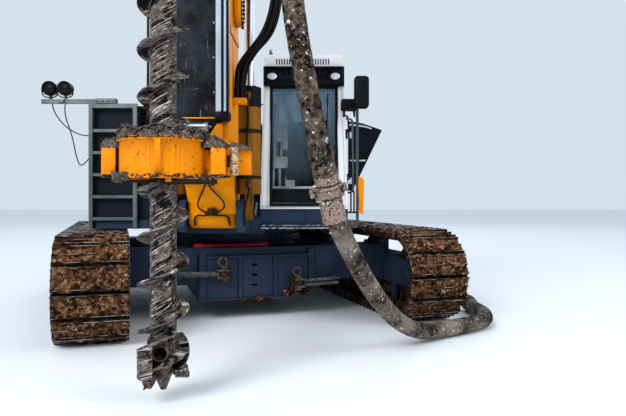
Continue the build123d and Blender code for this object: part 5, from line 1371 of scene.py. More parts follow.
class RIG_OT_mast_fittings(bpy.types.Operator):
    """Rail caps, foot roller, bracket and chain, joint bolts, stiffeners, pipes and rungs of the mast."""
    bl_idname = "rig.mast_fittings"
    bl_label = "Mast fittings"

    def execute(self, context):
        rail_foot = 2.13
        bm = bmesh.new()
        for side in (-1, 1):
            add_box(bm, (side * 0.228, -3.334, rail_foot - 0.03),
                    (side * 0.352, -3.196, rail_foot + 0.048), 0.016)
            # black grease lies in the groove beside the track that the sledge keeps bright
            for first, second in ((0.281, 0.305), (0.324, 0.3465)):
                add_box(bm, (side * first, -3.3225, 2.17), (side * second, -3.3195, 20.25))
        # black box under the wear plate: the trough in painted shade, and the painted shadow of its roller
        add_box(bm, (-0.226, -3.232, 2.0), (0.226, -3.199, 2.118), 0.004)
        place_piece("rail_caps_grease_and_painted_shadow", bm, "moulded_plastic", "mast")

        bm = bmesh.new()
        for side in (-1, 1):
            for first, second in ((0.237, 0.281), (0.305, 0.324)):
                add_box(bm, (side * first, -3.323, 2.17), (side * second, -3.3195, 20.25))
        place_piece("rail_running_faces", bm, "polished_steel", "mast")

        bm = bmesh.new()
        add_lathe(bm, [(0.0, -0.19), (0.014, -0.19), (0.014, -0.17), (0.04, -0.166), (0.044, -0.15),
                       (0.036, -0.13), (0.036, 0.13), (0.044, 0.15), (0.04, 0.166), (0.014, 0.17),
                       (0.014, 0.19), (0.0, 0.19)], (0.0, -3.262, 2.052), (1, 0, 0), 32)
        place_piece("foot_roller", bm, "machined_steel", "mast")

        bm = bmesh.new()
        # trim across the wear plate's foot
        add_box(bm, (-0.228, -3.246, 2.122), (0.228, -3.238, 2.136), 0.002)
        # bracket on the right side, hanging over the luffing cylinder
        add_prism(bm, [(0.33, -2.93, 3.86), (0.33, -2.62, 3.86), (0.33, -2.62, 3.18), (0.33, -2.68, 3.06),
                       (0.33, -2.87, 3.06), (0.33, -2.93, 3.18)], Vector((0.058, 0, 0)), 0.006)
        for side in (-1, 1):
            # gussets over the foot ears and stiffeners up the sides
            for z in (2.9, 4.3, 5.7, 7.1, 9.7, 11.1, 12.5, 15.7, 17.1, 18.5):
                add_box(bm, (side * 0.329, -3.12, z), (side * 0.342, -2.56, z + 0.06), 0.004)
        for side in (-1, 1):
            add_box(bm, (side * 0.24, -2.532, 6.0), (side * 0.3, -2.516, 8.1), 0.003)
        place_piece("mast_stiffeners", bm, "yellow_enamel", "mast")

        bm = bmesh.new()
        # leaf chain beside the bracket
        for index in range(24):
            z = 3.085 + 0.038 * index
            for offset in ((-0.016, 0.016) if index % 2 else (-0.007, 0.007)):
                add_box(bm, (0.402 + offset - 0.003, -2.802, z - 0.015),
                        (0.402 + offset + 0.003, -2.768, z + 0.047), 0.002)
            add_bar(bm, (0.378, -2.785, z), (0.426, -2.785, z), 0.007, sides=10)
        add_bar(bm, (0.402, -2.785, 3.02), (0.402, -2.785, 3.075), 0.011, sides=12)
        place_piece("side_chain", bm, "cast_steel", "mast")

        bm = bmesh.new()
        # bolts of the mast's joints, wear plate and rails
        for joint in (8.3, 14.3):
            for z, up in ((joint - 0.0295, -1), (joint + 0.029, 1)):
                places = [(side * 0.358, -3.09 + 0.1 * index, z) for side in (-1, 1) for index in range(6)]
                places += [(-0.3 + 0.12 * index, -2.502, z) for index in range(6)]
                add_bolts(bm, places, (0, 0, up), 0.015, 0.018)
        for row in range(58):
            z = 2.35 + row * 0.3
            add_bolts(bm, [(side * 0.208, -3.2402, z) for side in (-1, 1)], (0, -1, 0), 0.007, 0.004)
        place_piece("mast_bolts", bm, "machined_steel", "mast")

        bm = bmesh.new()
        # hydraulic pipes up the left side with their clamps
        for lane in range(4):
            y = -3.04 + lane * 0.055
            add_bar(bm, (-0.366, y, 2.35), (-0.366, y, 19.2), 0.013, sides=10)
        for row in range(13):
            z = 2.6 + row * 1.36
            add_box(bm, (-0.392, -3.072, z), (-0.33, -2.842, z + 0.045), 0.006)
        place_piece("mast_pipes", bm, "galvanised_steel", "mast")

        bm = bmesh.new()
        # rungs up the back of the mast, beside the winch
        for index in range(46):
            z = 5.75 + index * 0.3
            if abs(z - 8.3) < 0.1 or abs(z - 14.3) < 0.1:
                continue
            add_hose(bm, [(-0.17, -2.535, z), (-0.17, -2.44, z), (-0.14, -2.41, z), (0.14, -2.41, z),
                          (0.17, -2.44, z), (0.17, -2.535, z)], 0.011, 4, 2)
        place_piece("mast_rungs", bm, "galvanised_steel", "mast", smooth=50)
        return {"FINISHED"}


class RIG_OT_ropes(bpy.types.Operator):
    """Crowd rope wound on the winch and led over the head sheaves down the front of the mast."""
    bl_idname = "rig.ropes"
    bl_label = "Ropes"

    def execute(self, context):
        rope = sizes().rope_diameter / 2
        drum, turns = 0.2, 19
        bm = bmesh.new()
        start = -0.232
        points = []
        for step in range(turns * 12 + 1):
            turn = 2 * math.pi * step / 12
            points.append((start + 2 * rope * step / 12, -2.17 - (drum + rope) * math.cos(turn),
                           4.825 + (drum + rope) * math.sin(turn)))
        add_hose(bm, points, rope, 2, 3)
        place_piece("winch_windings", bm, "greased_rope", "winch_drum", smooth=60)

        bm = bmesh.new()
        sheave = 0.24
        up_run = [(0.02, -2.375, 4.84), (0.02, -2.36, 8.0), (0.0, -2.3, 14.0), (0.0, -2.262, 19.6),
                  (0.0, -2.26, 20.5)]
        over = circle_across(0.0, -2.5, 20.8, sheave, (0.0, 0.5, 1.0, 1.4))
        level = [(0.0, -2.6, 21.045), (0.0, -3.0, 21.045)]
        down = circle_across(0.0, -3.1, 20.8, sheave, (1.75, 2.1, 2.6, 3.1))
        front = [(0.0, -3.335, 20.4), (-0.002, -3.3, 19.9), (-0.01, -3.283, 19.2), (-0.1, -3.283, 11.0),
                 (-0.195, -3.283, 2.6), (-0.198, -3.283, 2.12), (-0.19, -3.292, 2.062)]
        add_hose(bm, up_run + over + level + down + front, rope * 0.8, 6, 3)
        place_piece("crowd_rope", bm, "greased_rope", "mast", smooth=60)
        return {"FINISHED"}


class RIG_OT_cab_fittings(bpy.types.Operator):
    """Window seals, wiper, lamps, grab rails, controls, screen and trims of the cab."""
    bl_idname = "rig.cab_fittings"
    bl_label = "Cab fittings"

    def execute(self, context):
        lean = 0.048 / 1.625
        sill, front = 1.32, -1.5
        left, right = 0.565, 1.345
        low, high = 1.346, 2.73

        def face_y(z):
            return front + lean * (z - sill)

        seal = bmesh.new()
        # rubber round the windscreen, following its lean
        for x in (left + 0.012, right - 0.012):
            add_bar(seal, (x, face_y(low) + 0.004, low), (x, face_y(high) + 0.004, high), 0.017, sides=8)
        for z in (low + 0.012, high - 0.01):
            add_bar(seal, (left, face_y(z) + 0.004, z), (right, face_y(z) + 0.004, z), 0.017, sides=8)
        # seals of the inner side window and of the door's window
        for x, y_low, y_high, z_low, z_high, side in ((0.45, -1.35, 0.1, 1.7, 2.75, 1),
                                                      (1.46, -1.24, 0.06, 1.78, 2.725, -1)):
            for y in (y_low + 0.01, y_high - 0.01):
                add_bar(seal, (x + side * lean * (z_low - sill) + side * 0.002, y, z_low),
                        (x + side * lean * (z_high - sill) + side * 0.002, y, z_high), 0.014, sides=8)
            for z in (z_low + 0.01, z_high - 0.01):
                shift = side * (lean * (z - sill) + 0.002)
                add_bar(seal, (x + shift, y_low, z), (x + shift, y_high, z), 0.014, sides=8)
        place_piece("cab_seals", seal, "black_rubber", "upper")

        wiper = bmesh.new()
        pivot = Vector((1.205, face_y(2.3) - 0.03, 2.3))
        top = Vector((1.083, face_y(2.485) - 0.028, 2.485))
        blade_low = Vector((1.214, face_y(2.01) - 0.02, 2.01))
        blade_high = Vector((1.23, face_y(2.65) - 0.02, 2.65))
        add_bar(wiper, top, pivot, 0.007, 0.01, 10)
        add_bar(wiper, blade_low, blade_high, 0.006, sides=8)
        for share in (0.15, 0.5, 0.85):
            place = blade_low.lerp(blade_high, share)
            add_box(wiper, place - Vector((0.009, 0.01, 0.02)), place + Vector((0.009, 0.006, 0.02)), 0.003)
        add_lathe(wiper, [(0.0, 0.035), (0.02, 0.032), (0.026, 0.02), (0.026, 0.0), (0.0, 0.0)],
                  top + Vector((0, 0.025, 0)), (0, -1, 0), 20)
        add_box(wiper, pivot - Vector((0.022, 0.012, 0.03)), pivot + Vector((0.02, 0.012, 0.026)), 0.006)
        place_piece("cab_wiper", wiper, "moulded_plastic", "upper")

        brow = bmesh.new()
        # dark panel behind the lamps, a shallow grille and the roof's overhang
        add_box(brow, (0.505, -1.548, 2.746), (1.405, -1.528, 2.8), 0.006)
        for index in range(9):
            x = 0.73 + index * 0.056
            add_box(brow, (x, -1.54, 2.845), (x + 0.03, -1.526, 2.905), 0.003)
        add_box(brow, (0.5, -1.556, 2.922), (1.41, -1.47, 2.944), 0.006)
        place_piece("cab_brow_panel", brow, "moulded_plastic", "upper")
        lens = bmesh.new()
        bezel = bmesh.new()
        for x in (0.594, 1.313):
            for bm, profile in ((lens, [(0.0, 0.032), (0.03, 0.03), (0.05, 0.022), (0.058, 0.008),
                                        (0.058, 0.0)]),
                                (bezel, [(0.057, 0.01), (0.06, 0.02), (0.067, 0.018), (0.07, 0.0)])):
                before = set(bm.verts)
                add_lathe(bm, profile, (x, -1.552, 2.825), (0, -1, 0), 40)
                bmesh.ops.scale(bm, vec=(1.0, 1.0, 0.72), space=Matrix.Translation((-x, 1.552, -2.825)),
                                verts=new_points(bm, before))
        place_piece("cab_lamp_lenses", lens, "lamp_lens", "upper", smooth=50)
        place_piece("cab_lamp_bezels", bezel, "moulded_plastic", "upper", smooth=50)

        trim = bmesh.new()
        # pale beads down both front posts and the lip under the windscreen
        for x in (0.452, 1.458):
            side = 1 if x < 1 else -1
            for inset in (0.018, 0.086):
                bottom = Vector((x + side * inset, face_y(sill) - 0.003, sill + 0.01))
                upper = Vector((x + side * (inset + 0.042), face_y(2.735) - 0.003, 2.735))
                add_bar(trim, bottom, upper, 0.0055, sides=8)
        add_box(trim, (0.452, -1.522, 1.312), (1.458, -1.488, 1.33), 0.004)
        place_piece("cab_post_beads", trim, "cab_enamel", "upper")

        rails = bmesh.new()
        # grab rail beside the door, on the cab's front corner, and on the roof's edge
        add_hose(rails, [(1.462, -1.42, 1.5), (1.52, -1.43, 1.5), (1.53, -1.432, 1.56), (1.52, -1.43, 2.3),
                         (1.51, -1.428, 2.36), (1.44, -1.42, 2.36)], 0.012, 8, 3)
        add_hose(rails, [(0.56, -1.38, 3.1), (0.56, -1.38, 3.16), (0.56, -1.3, 3.19), (0.56, -0.3, 3.19),
                         (0.56, -0.22, 3.16), (0.56, -0.22, 3.1)], 0.011, 8, 3)
        place_piece("cab_grab_rails", rails, "galvanised_steel", "upper", smooth=60)

        inside = bmesh.new()
        # dashboard, floor mat ridge, armrest controls and the roof lining's front edge
        add_box(inside, (0.56, -1.4, 1.385), (1.35, -1.27, 1.56), 0.02)
        add_box(inside, (0.53, -1.43, 2.69), (1.38, -1.33, 2.8), 0.02)
        for x in (0.63, 1.31):
            add_bar(inside, (x, -0.86, 1.935), (x, -0.9, 2.06), 0.012, sides=10)
            add_lathe(inside, [(0.0, 0.0), (0.022, 0.006), (0.026, 0.05), (0.02, 0.09), (0.0, 0.098)],
                      (x, -0.896, 2.05), (0, -0.2, 1), 20)
        for x in (0.86, 1.05):
            add_bar(inside, (x, -1.1, 1.385), (x, -1.16, 1.64), 0.01, sides=8)
            add_box(inside, (x - 0.045, -1.2, 1.385), (x + 0.045, -1.06, 1.405), 0.006)
        # the long diagonal stay behind the glass
        add_prism(inside, [(0.665, -1.35, 2.69), (0.735, -1.35, 2.69), (1.06, -1.33, 1.56),
                           (0.975, -1.33, 1.56)],
                  Vector((0, 0.012, 0)), 0.003)
        place_piece("cab_inside", inside, "moulded_plastic", "upper")
        screens = bmesh.new()
        # working display, its arm, document holder and fan, in pale plastic
        add_box(screens, (0.615, -1.3, 2.105), (0.735, -1.262, 2.29), 0.014)
        add_box(screens, (0.7, -1.31, 2.01), (0.76, -1.27, 2.33), 0.012)
        add_box(screens, (0.59, -1.31, 1.79), (0.76, -1.255, 1.93), 0.022)
        add_bar(screens, (0.665, -1.28, 1.56), (0.665, -1.28, 1.8), 0.014, sides=12)
        add_bar(screens, (0.68, -1.28, 1.9), (0.69, -1.28, 2.11), 0.012, sides=12)
        add_box(screens, (0.575, -1.42, 1.545), (1.3, -1.385, 1.575), 0.006)
        place_piece("cab_displays", screens, "pale_plastic", "upper")

        door = bmesh.new()
        add_box(door, (1.452, -1.21, 1.62), (1.476, -1.06, 1.665), 0.008)
        add_hose(door, [(1.455, -1.265, 1.66), (1.5, -1.268, 1.66), (1.505, -1.268, 1.72),
                        (1.48, -1.262, 2.36),
                        (1.47, -1.26, 2.42), (1.425, -1.255, 2.42)], 0.011, 8, 3)
        place_piece("cab_door_handle", door, "moulded_plastic", "cab_door")
        return {"FINISHED"}


class RIG_OT_side_fittings(bpy.types.Operator):
    """Lamps and cables at the left, mirror, camera, yellow grab plate and strips of the service door."""
    bl_idname = "rig.side_fittings"
    bl_label = "Side fittings"

    def execute(self, context):
        shells, lens = bmesh.new(), bmesh.new()
        for x, lean in ((-1.944, 0.16), (-1.768, -0.1)):
            aim = Vector((lean, -1, -0.22)).normalized()
            centre = Vector((x, -1.56, 2.69))
            add_lathe(shells, [(0.0, -0.075), (0.03, -0.072), (0.062, -0.05), (0.078, -0.02), (0.083, 0.01),
                               (0.083, 0.02), (0.076, 0.02), (0.074, 0.008)], centre, aim, 40)
            add_lathe(lens, [(0.0, 0.006), (0.04, 0.009), (0.074, 0.01)], centre, aim, 40)
            add_hose(shells, [centre + Vector((-0.088, 0, 0)), centre + Vector((-0.094, 0.01, -0.06)),
                              centre + Vector((-0.06, 0.02, -0.098)), centre + Vector((0, 0.02, -0.104)),
                              centre + Vector((0.06, 0.02, -0.098)), centre + Vector((0.094, 0.01, -0.06)),
                              centre + Vector((0.088, 0, 0))], 0.007, 8, 2)
        place_piece("work_lamp_shells", shells, "moulded_plastic", "upper", smooth=50)
        place_piece("work_lamp_lenses", lens, "lamp_lens", "upper", smooth=50)

        cables = bmesh.new()
        add_hose(cables, [(-1.944, -1.5, 2.64), (-1.95, -1.48, 2.56), (-1.93, -1.49, 2.44),
                          (-1.8, -1.52, 2.27),
                          (-1.64, -1.53, 2.17), (-1.53, -1.52, 2.15), (-1.485, -1.5, 2.155)], 0.0065, 10, 3)
        add_hose(cables, [(-1.768, -1.5, 2.64), (-1.79, -1.49, 2.56), (-1.8, -1.5, 2.4), (-1.7, -1.52, 2.15),
                          (-1.645, -1.54, 1.9), (-1.6, -1.545, 1.8), (-1.54, -1.535, 1.84),
                          (-1.486, -1.51, 1.93)], 0.0065, 10, 3)
        place_piece("lamp_cables", cables, "black_rubber", "upper", smooth=60)

        bm = bmesh.new()
        # junction box and clips on the lamp arm, a wedge joint to the ladder
        add_box(bm, (-1.84, -1.585, 2.522), (-1.775, -1.562, 2.56), 0.004)
        add_box(bm, (-1.42, -1.575, 2.515), (-1.18, -1.5, 2.575), 0.01)
        add_bolts(bm, [(-1.395 + 0.06 * index, -1.575, 2.545) for index in range(4)], (0, -1, 0), 0.009, 0.01)
        place_piece("lamp_arm_joint", bm, "galvanised_steel", "upper")

        mirror, glass = bmesh.new(), bmesh.new()
        add_prism(mirror, [(1.53, -1.722, 2.455), (1.674, -1.722, 2.455), (1.674, -1.722, 2.785),
                           (1.53, -1.722, 2.785)],
                  Vector((0, -0.01, 0)), 0.004)
        add_prism(glass, [(1.535, -1.6495, 2.465), (1.669, -1.6495, 2.465), (1.669, -1.6495, 2.775),
                          (1.535, -1.6495, 2.775)],
                  Vector((0, 0.004, 0)))
        for dx in (-0.055, 0.055):
            add_bar(mirror, (1.467 + dx, -1.64, 2.425), (1.467 + dx * 1.1, -1.64, 2.35), 0.015, 0.011, 10)
        add_lathe(mirror, [(0.0, 0.014), (0.02, 0.012), (0.024, 0.0)], (1.467, -1.68, 2.49), (0, -1, 0), 20)
        place_piece("mirror_back", mirror, "moulded_plastic", "upper")
        place_piece("mirror_glass", glass, "hard_chrome", "upper")

        bm = bmesh.new()
        # yellow grab plate beside the step
        add_prism(bm, [(1.596, -1.47, 1.262), (1.64, -1.47, 1.255), (1.652, -1.47, 1.63),
                       (1.636, -1.47, 1.672),
                       (1.586, -1.47, 1.69), (1.58, -1.47, 1.6)], Vector((0, 0.014, 0)), 0.003)
        add_box(bm, (1.56, -1.462, 1.3), (1.606, -1.45, 1.33), 0.003)
        add_box(bm, (1.56, -1.462, 1.56), (1.596, -1.45, 1.59), 0.003)
        place_piece("grab_plate", bm, "yellow_enamel", "upper")
        bm = bmesh.new()
        for x in (1.488, 1.524):
            add_box(bm, (x, -1.475, 1.27), (x + 0.02, -1.462, 1.52), 0.003)
        add_box(bm, (1.458, -1.478, 1.262), (1.57, -1.455, 1.282), 0.003)
        place_piece("rusty_slats", bm, "rusted_steel", "upper")

        bm = bmesh.new()
        # pale strips across the open service door, level and bowed
        strip = [(1.585, 0.2965, 2.508), (1.7, 0.2965, 2.5), (1.82, 0.2965, 2.478), (1.91, 0.2965, 2.448),
                 (1.905, 0.2965, 2.43), (1.815, 0.2965, 2.457), (1.7, 0.2965, 2.478), (1.585, 0.2965, 2.486)]
        add_prism(bm, strip, Vector((0, -0.006, 0)))
        add_box(bm, (1.556, 0.29, 1.966), (1.819, 0.298, 1.99), 0.002)
        for z in (1.64, 2.3):
            add_box(bm, (1.56, 0.288, z), (1.62, 0.3, z + 0.09), 0.003)
        place_piece("service_door_strips", bm, "pale_plastic", "service_door")
        bm = bmesh.new()
        add_box(bm, (1.7, 0.262, 1.99), (1.76, 0.302, 2.06), 0.01)
        add_box(bm, (1.84, 0.338, 2.15), (1.93, 0.352, 2.2), 0.006)
        place_piece("service_door_latch", bm, "moulded_plastic", "service_door")
        return {"FINISHED"}


class RIG_OT_house_fittings(bpy.types.Operator):
    """Handles, hinges, stack cap, hand rails and bolts of the houses and counterweight."""
    bl_idname = "rig.house_fittings"
    bl_label = "House fittings"

    def execute(self, context):
        black, steel, navy = bmesh.new(), bmesh.new(), bmesh.new()
        rear = 3.0935
        # x, y, half width of a door, way that the wall faces
        doors = [(side * 1.49, y, 0.42, side) for side in (-1, 1) for y in (rear - 0.9, rear)]
        doors += [(-1.49, -1.01, 0.4, -1), (-1.49, -0.15, 0.4, -1), (-1.49, 1.12, 0.45, -1)]
        for x, y, half, side in doors:
            add_box(black, (x - side * 0.004, y + half - 0.13, 1.62),
                    (x + side * 0.026, y + half - 0.06, 1.76), 0.01)
            leaf = 0.008 if side > 0 else -0.02
            for z in (1.36, 2.24):
                add_bar(black, (x + side * 0.008, y - half - 0.004, z),
                        (x + side * 0.008, y - half - 0.004, z + 0.09),
                        0.012, sides=10)
                add_box(black, (x, y - half - 0.05, z + 0.02), (x + leaf, y - half + 0.05, z + 0.07), 0.003)
        # hand rail round the roof's rear half
        posts = [(-1.42, 0.6), (-1.42, 1.6), (-1.42, 2.6), (-1.42, 3.55), (-0.45, 3.6), (0.5, 3.6),
                 (1.42, 3.55), (1.42, 2.6)]
        for x, y in posts:
            add_bar(steel, (x, y, 2.495), (x, y, 3.3), 0.017, sides=12)
            add_lathe(steel, [(0.0, 0.012), (0.045, 0.01), (0.048, 0.0), (0.0, 0.0)], (x, y, 2.5), (0, 0, 1),
                      16)
        for level in (2.9, 3.3):
            route = [(*place, level) for place in posts]
            for before, after in zip(route, route[1:]):
                add_bar(steel, before, after, 0.015, sides=12)
        # hinged rain cap of the exhaust stack
        add_lathe(steel, [(0.0, 0.01), (0.08, 0.006), (0.084, 0.0), (0.0, 0.0)], (-0.82, rear + 0.03, 2.868),
                  (0, -0.5, 1), 28)
        add_bar(steel, (-0.87, rear + 0.085, 2.835), (-0.77, rear + 0.085, 2.835), 0.009, sides=10)
        place_piece("house_handles", black, "moulded_plastic", "upper")
        place_piece("roof_rails", steel, "galvanised_steel", "upper")

        # roof plates with their seams, ribs under the deck's edge
        for x_low, x_high, y_low, y_high in ((-1.4, -0.58, 0.5, 1.9), (-0.52, 0.1, 0.5, 1.9),
                                             (0.16, 1.4, 0.5, 1.9),
                                             (-1.4, -0.02, 2.0, 3.6)):
            add_box(navy, (x_low, y_low, 2.496), (x_high, y_high, 2.508), 0.004)
        for side in (-1, 1):
            for y in (0.7, 1.55, 2.4, 3.25):
                add_box(navy, (side * 1.494, y, 1.09), (side * 1.506, y + 0.05, 1.172), 0.002)
        place_piece("roof_plates", navy, "navy_paint", "upper")

        bolts = bmesh.new()
        for side in (-1, 1):
            add_bolts(bolts, [(side * 1.4905, y, 1.215) for y in [0.55 + 0.3 * index for index in range(11)]],
                      (side, 0, 0), 0.009, 0.009)
        for x in [-1.2 + 0.3 * index for index in range(9)]:
            y = (4.45 ** 2 - x ** 2) ** 0.5
            add_bolts(bolts, [(x, y, 2.1)], Vector((x, y, 0)).normalized(), 0.016, 0.012)
        place_piece("house_bolts", bolts, "cast_steel", "upper")

        # radiator cores and sound lining inside the walls, behind the louvres
        lining = bmesh.new()
        add_box(lining, (-1.385, 0.46, 1.26), (-1.36, 3.62, 2.43), 0.004)
        add_box(lining, (1.36, 1.74, 1.26), (1.385, 3.62, 2.43), 0.004)
        add_box(lining, (-1.4, -1.38, 1.26), (-0.66, -1.36, 2.43), 0.004)
        for level in [1.34 + 0.05 * index for index in range(21)]:
            for side in (-1, 1):
                add_bar(lining, (side * 1.389, 1.8, level), (side * 1.389, 3.58, level), 0.006, sides=6)
        place_piece("house_lining", lining, "moulded_plastic", "upper")

        # hoses and manifold in the open bay behind the service door
        bay = bmesh.new()
        for lane in range(6):
            y = 0.54 + 0.065 * lane
            add_hose(bay, [(1.44, y, 1.6), (1.452, y, 1.75), (1.445, y + 0.02, 1.95), (1.455, y + 0.01, 2.15),
                           (1.445, y + 0.03, 2.36)], 0.014, 8, 3)
        add_box(bay, (1.38, 0.52, 1.72), (1.43, 0.92, 1.98), 0.012)
        place_piece("service_bay_hoses", bay, "black_rubber", "upper", smooth=60)
        return {"FINISHED"}


# Motors round the drive
MOTOR_DEGREES = (180, 252, 324)


class RIG_OT_drive_fittings(bpy.types.Operator):
    """Motor hoses, bolts and clamps of the rotary drive, and the concrete bend at its top."""
    bl_idname = "rig.drive_fittings"
    bl_label = "Drive fittings"

    def execute(self, context):
        centre = AUGER_AXIS
        bend = bmesh.new()
        neck, top = 0.31, 19.49
        outer = 0.079
        circle = bmesh.ops.create_circle(bend, segments=32, radius=outer,
                                         matrix=Matrix.Translation(centre + Vector((0, 0, 19.0))))["verts"]
        edges = list(dict.fromkeys(edge for corner in circle for edge in corner.link_edges))
        grown = bmesh.ops.extrude_edge_only(bend, edges=edges)["geom"]
        ring = [item for item in grown if isinstance(item, bmesh.types.BMVert)]
        bmesh.ops.translate(bend, verts=ring, vec=(0, 0, top - 19.0))
        ring_edges = [item for item in grown if isinstance(item, bmesh.types.BMEdge)
                      and all(corner in ring for corner in item.verts)]
        spun = bmesh.ops.spin(bend, geom=ring + ring_edges, cent=centre + Vector((neck, 0, top)),
                              axis=(0, 1, 0),
                              angle=math.pi, steps=28)["geom_last"]
        last = [item for item in spun if isinstance(item, bmesh.types.BMEdge)]
        grown = bmesh.ops.extrude_edge_only(bend, edges=last)["geom"]
        bmesh.ops.translate(bend, verts=[item for item in grown if isinstance(item, bmesh.types.BMVert)],
                            vec=(0, 0, 19.15 - top))
        for x, z in ((0.0, 19.0), (0.62, 19.15), (0.0, top - 0.06), (0.62, top - 0.06)):
            add_lathe(bend, [(0.078, 0.0), (0.1, 0.004), (0.102, 0.02), (0.092, 0.026), (0.092, 0.04),
                             (0.102, 0.046), (0.1, 0.062), (0.078, 0.066)], (x, centre.y, z), (0, 0, 1), 32)
            add_box(bend, (x + 0.088, centre.y - 0.018, z + 0.008), (x + 0.128, centre.y + 0.018, z + 0.058),
                    0.004)
        place_piece("concrete_bend", bend, "sleeve_steel", "drill_sledge", ("gooseneck",), 50)

        bolts = bmesh.new()
        for count, reach, z, up in ((28, 0.372, 18.232, 1), (28, 0.372, 18.152, -1), (24, 0.372, 18.552, 1),
                                    (16, 0.19, 18.702, 1), (12, 0.14, 17.828, -1)):
            add_bolts(bolts, [centre + spoke(turn, reach, z) for turn in around(count)], (0, 0, up), 0.011,
                      0.014)
        for degree in MOTOR_DEGREES:
            turn = math.radians(degree)
            motor = centre + spoke(turn, 0.275)
            places = [motor + spoke(bolt, 0.086, 18.916) for bolt in around(6)]
            add_bolts(bolts, places, (0, 0, 1), 0.01, 0.012)
            out = spoke(turn)
            place = motor + out * 0.06 + Vector((0, 0, 19.02))
            add_box(bolts, place - Vector((0.035, 0.035, 0.045)), place + Vector((0.035, 0.035, 0.045)),
                    0.006)
        for z in (17.56, 18.02, 18.62, 19.1):
            for side in (-1, 1):
                add_bolts(bolts, [(side * 0.33, -3.4002, z), (side * 0.42, -3.4002, z)], (0, -1, 0), 0.014,
                          0.014)
        place_piece("drive_bolts", bolts, "machined_steel", "drill_sledge")

        hoses = bmesh.new()
        for lane, degree in enumerate(MOTOR_DEGREES):
            turn = math.radians(degree)
            out = spoke(turn)
            motor = centre + spoke(turn, 0.275)
            for step in (0, 1):
                start = motor + out * 0.09 + Vector((0, 0, 19.0 + step * 0.035))
                add_hose(hoses, [start, start + out * 0.07, start + out * 0.1 + Vector((0, 0, -0.1)),
                                 Vector((0.3 + 0.05 * lane, -3.8, 18.62 + 0.04 * step)),
                                 Vector((0.44 + 0.02 * lane, -3.52, 18.42)), Vector((0.53, -3.45, 18.3)),
                                 Vector((0.545, -3.395, 18.22))], 0.016, 10, 3)
        place_piece("drive_hoses", hoses, "black_rubber", "drill_sledge", smooth=60)
        return {"FINISHED"}


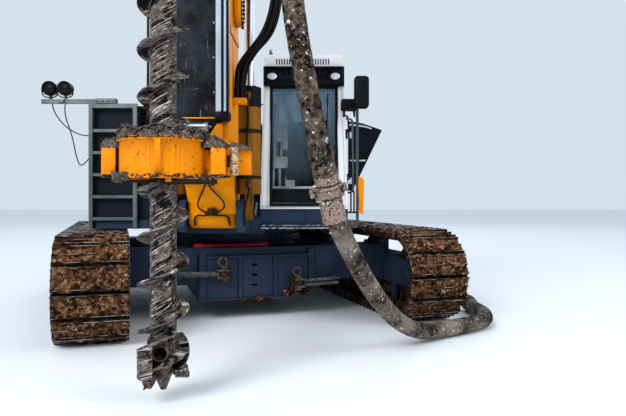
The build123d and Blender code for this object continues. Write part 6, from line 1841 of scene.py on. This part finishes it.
class RIG_OT_hose_clamps(bpy.types.Operator):
    """Bolted clamp, dried grout and end ring of the concrete hose's coupling."""
    bl_idname = "rig.hose_clamps"
    bl_label = "Hose clamps"

    def execute(self, context):
        steel, grout = bmesh.new(), bmesh.new()
        top = Vector(CONCRETE_ROUTE[-1])
        run = COUPLING_RUN
        # the sleeves stand in the middle of the view, below the joint of the two runs
        side = run.cross(Vector((0, 1, 0))).normalized()
        front = side.cross(run).normalized()
        if front.y > 0:
            front = -front
        # crimped sleeves above and below the clamp
        for start, end in ((0.15, 0.262), (0.372, 0.56)):
            add_lathe(steel, [(0.0835, start), (0.0905, start + 0.004), (0.0925, start + 0.05),
                              (0.0885, start + 0.07),
                              (0.093, (start + end) / 2), (0.093, end - 0.02), (0.096, end - 0.012), (0.096,
                                                                                                      end)],
                      top, run, 48)
        middle = top + run * 0.318
        add_lathe(steel, [(0.093, -0.046), (0.113, -0.042), (0.118, -0.028), (0.106, -0.018), (0.106, 0.018),
                          (0.118, 0.028), (0.113, 0.042), (0.093, 0.046)], middle, run, 48)
        for way in (-1, 1):
            lug = middle + side * way * 0.122
            turn = Matrix((side, front, run)).transposed().to_4x4()
            before = set(steel.verts)
            add_box(steel, (-0.022, -0.026, -0.03), (0.022, 0.026, 0.03), 0.004)
            bmesh.ops.transform(steel, matrix=Matrix.Translation(lug) @ turn, verts=new_points(steel, before))
            add_bar(steel, lug - front * 0.055, lug + front * 0.06, 0.01, sides=12)
            add_bar(steel, lug + front * 0.04, lug + front * 0.056, 0.018, sides=6)
        place_piece("coupling_clamp", steel, "sleeve_steel", "mast", smooth=40)

        draws = random.Random(23)
        for number in range(46):
            turn = draws.uniform(0, 2 * math.pi)
            out = side * math.cos(turn) + front * math.sin(turn)
            place = middle + run * draws.uniform(-0.075, 0.085) + out * draws.uniform(0.094, 0.108)
            size = draws.uniform(0.005, 0.015)
            lump(grout, place, (size, size, size), number, level=1)
        place_piece("coupling_grout", grout, "dried_grout", "mast", smooth=70)

        steel = bmesh.new()
        end = Vector(GROUND_ROUTE[-1])
        before_end = Vector(GROUND_ROUTE[-2])
        run = (end - before_end).normalized()
        add_lathe(steel, [(0.068, 0.142), (0.094, 0.142), (0.098, 0.136), (0.098, 0.112), (0.094, 0.104),
                          (0.0935, 0.06), (0.0905, 0.02), (0.084, -0.06), (0.0835, -0.08)], end, run, 40)
        place_piece("hose_end_ring", steel, "sleeve_steel", "upper", smooth=40)
        return {"FINISHED"}


class RIG_PT_panel(bpy.types.Panel):
    """Lists the groups of the rig in the order they are made."""
    bl_idname = "RIG_PT_panel"
    bl_label = "Piling rig"
    bl_space_type = "VIEW_3D"
    bl_region_type = "UI"
    bl_category = "Piling rig"

    def draw(self, context):
        for group in (context.scene.rig_sizes, context.scene.rig_colours):
            for name in group.bl_rna.properties.keys():
                if name not in ("rna_type", "name"):
                    self.layout.prop(group, name)
        for operator in OPERATORS:
            self.layout.operator(operator.bl_idname)


OPERATORS = (
    RIG_OT_stage,
    RIG_OT_cad_finishes,
    RIG_OT_track_mud,
    RIG_OT_auger,
    RIG_OT_hoses,
    RIG_OT_guide_soil,
    RIG_OT_auger_tip,
    RIG_OT_carbody_gear,
    RIG_OT_track_gear,
    RIG_OT_cradle_fittings,
    RIG_OT_cylinder_fittings,
    RIG_OT_mast_fittings,
    RIG_OT_ropes,
    RIG_OT_cab_fittings,
    RIG_OT_side_fittings,
    RIG_OT_house_fittings,
    RIG_OT_drive_fittings,
    RIG_OT_hose_clamps,
)
CLASSES = (RigSizes, RigColours, *OPERATORS, RIG_PT_panel)


def register():
    for cls in CLASSES:
        bpy.utils.register_class(cls)
    bpy.types.Scene.rig_sizes = bpy.props.PointerProperty(type=RigSizes)
    bpy.types.Scene.rig_colours = bpy.props.PointerProperty(type=RigColours)


def unregister():
    del bpy.types.Scene.rig_colours
    del bpy.types.Scene.rig_sizes
    for cls in reversed(CLASSES):
        bpy.utils.unregister_class(cls)


def main():
    register()
    make_materials()
    for operator in OPERATORS:
        getattr(bpy.ops.rig, operator.bl_idname.partition(".")[2])()


if __name__ == "__main__":
    main()
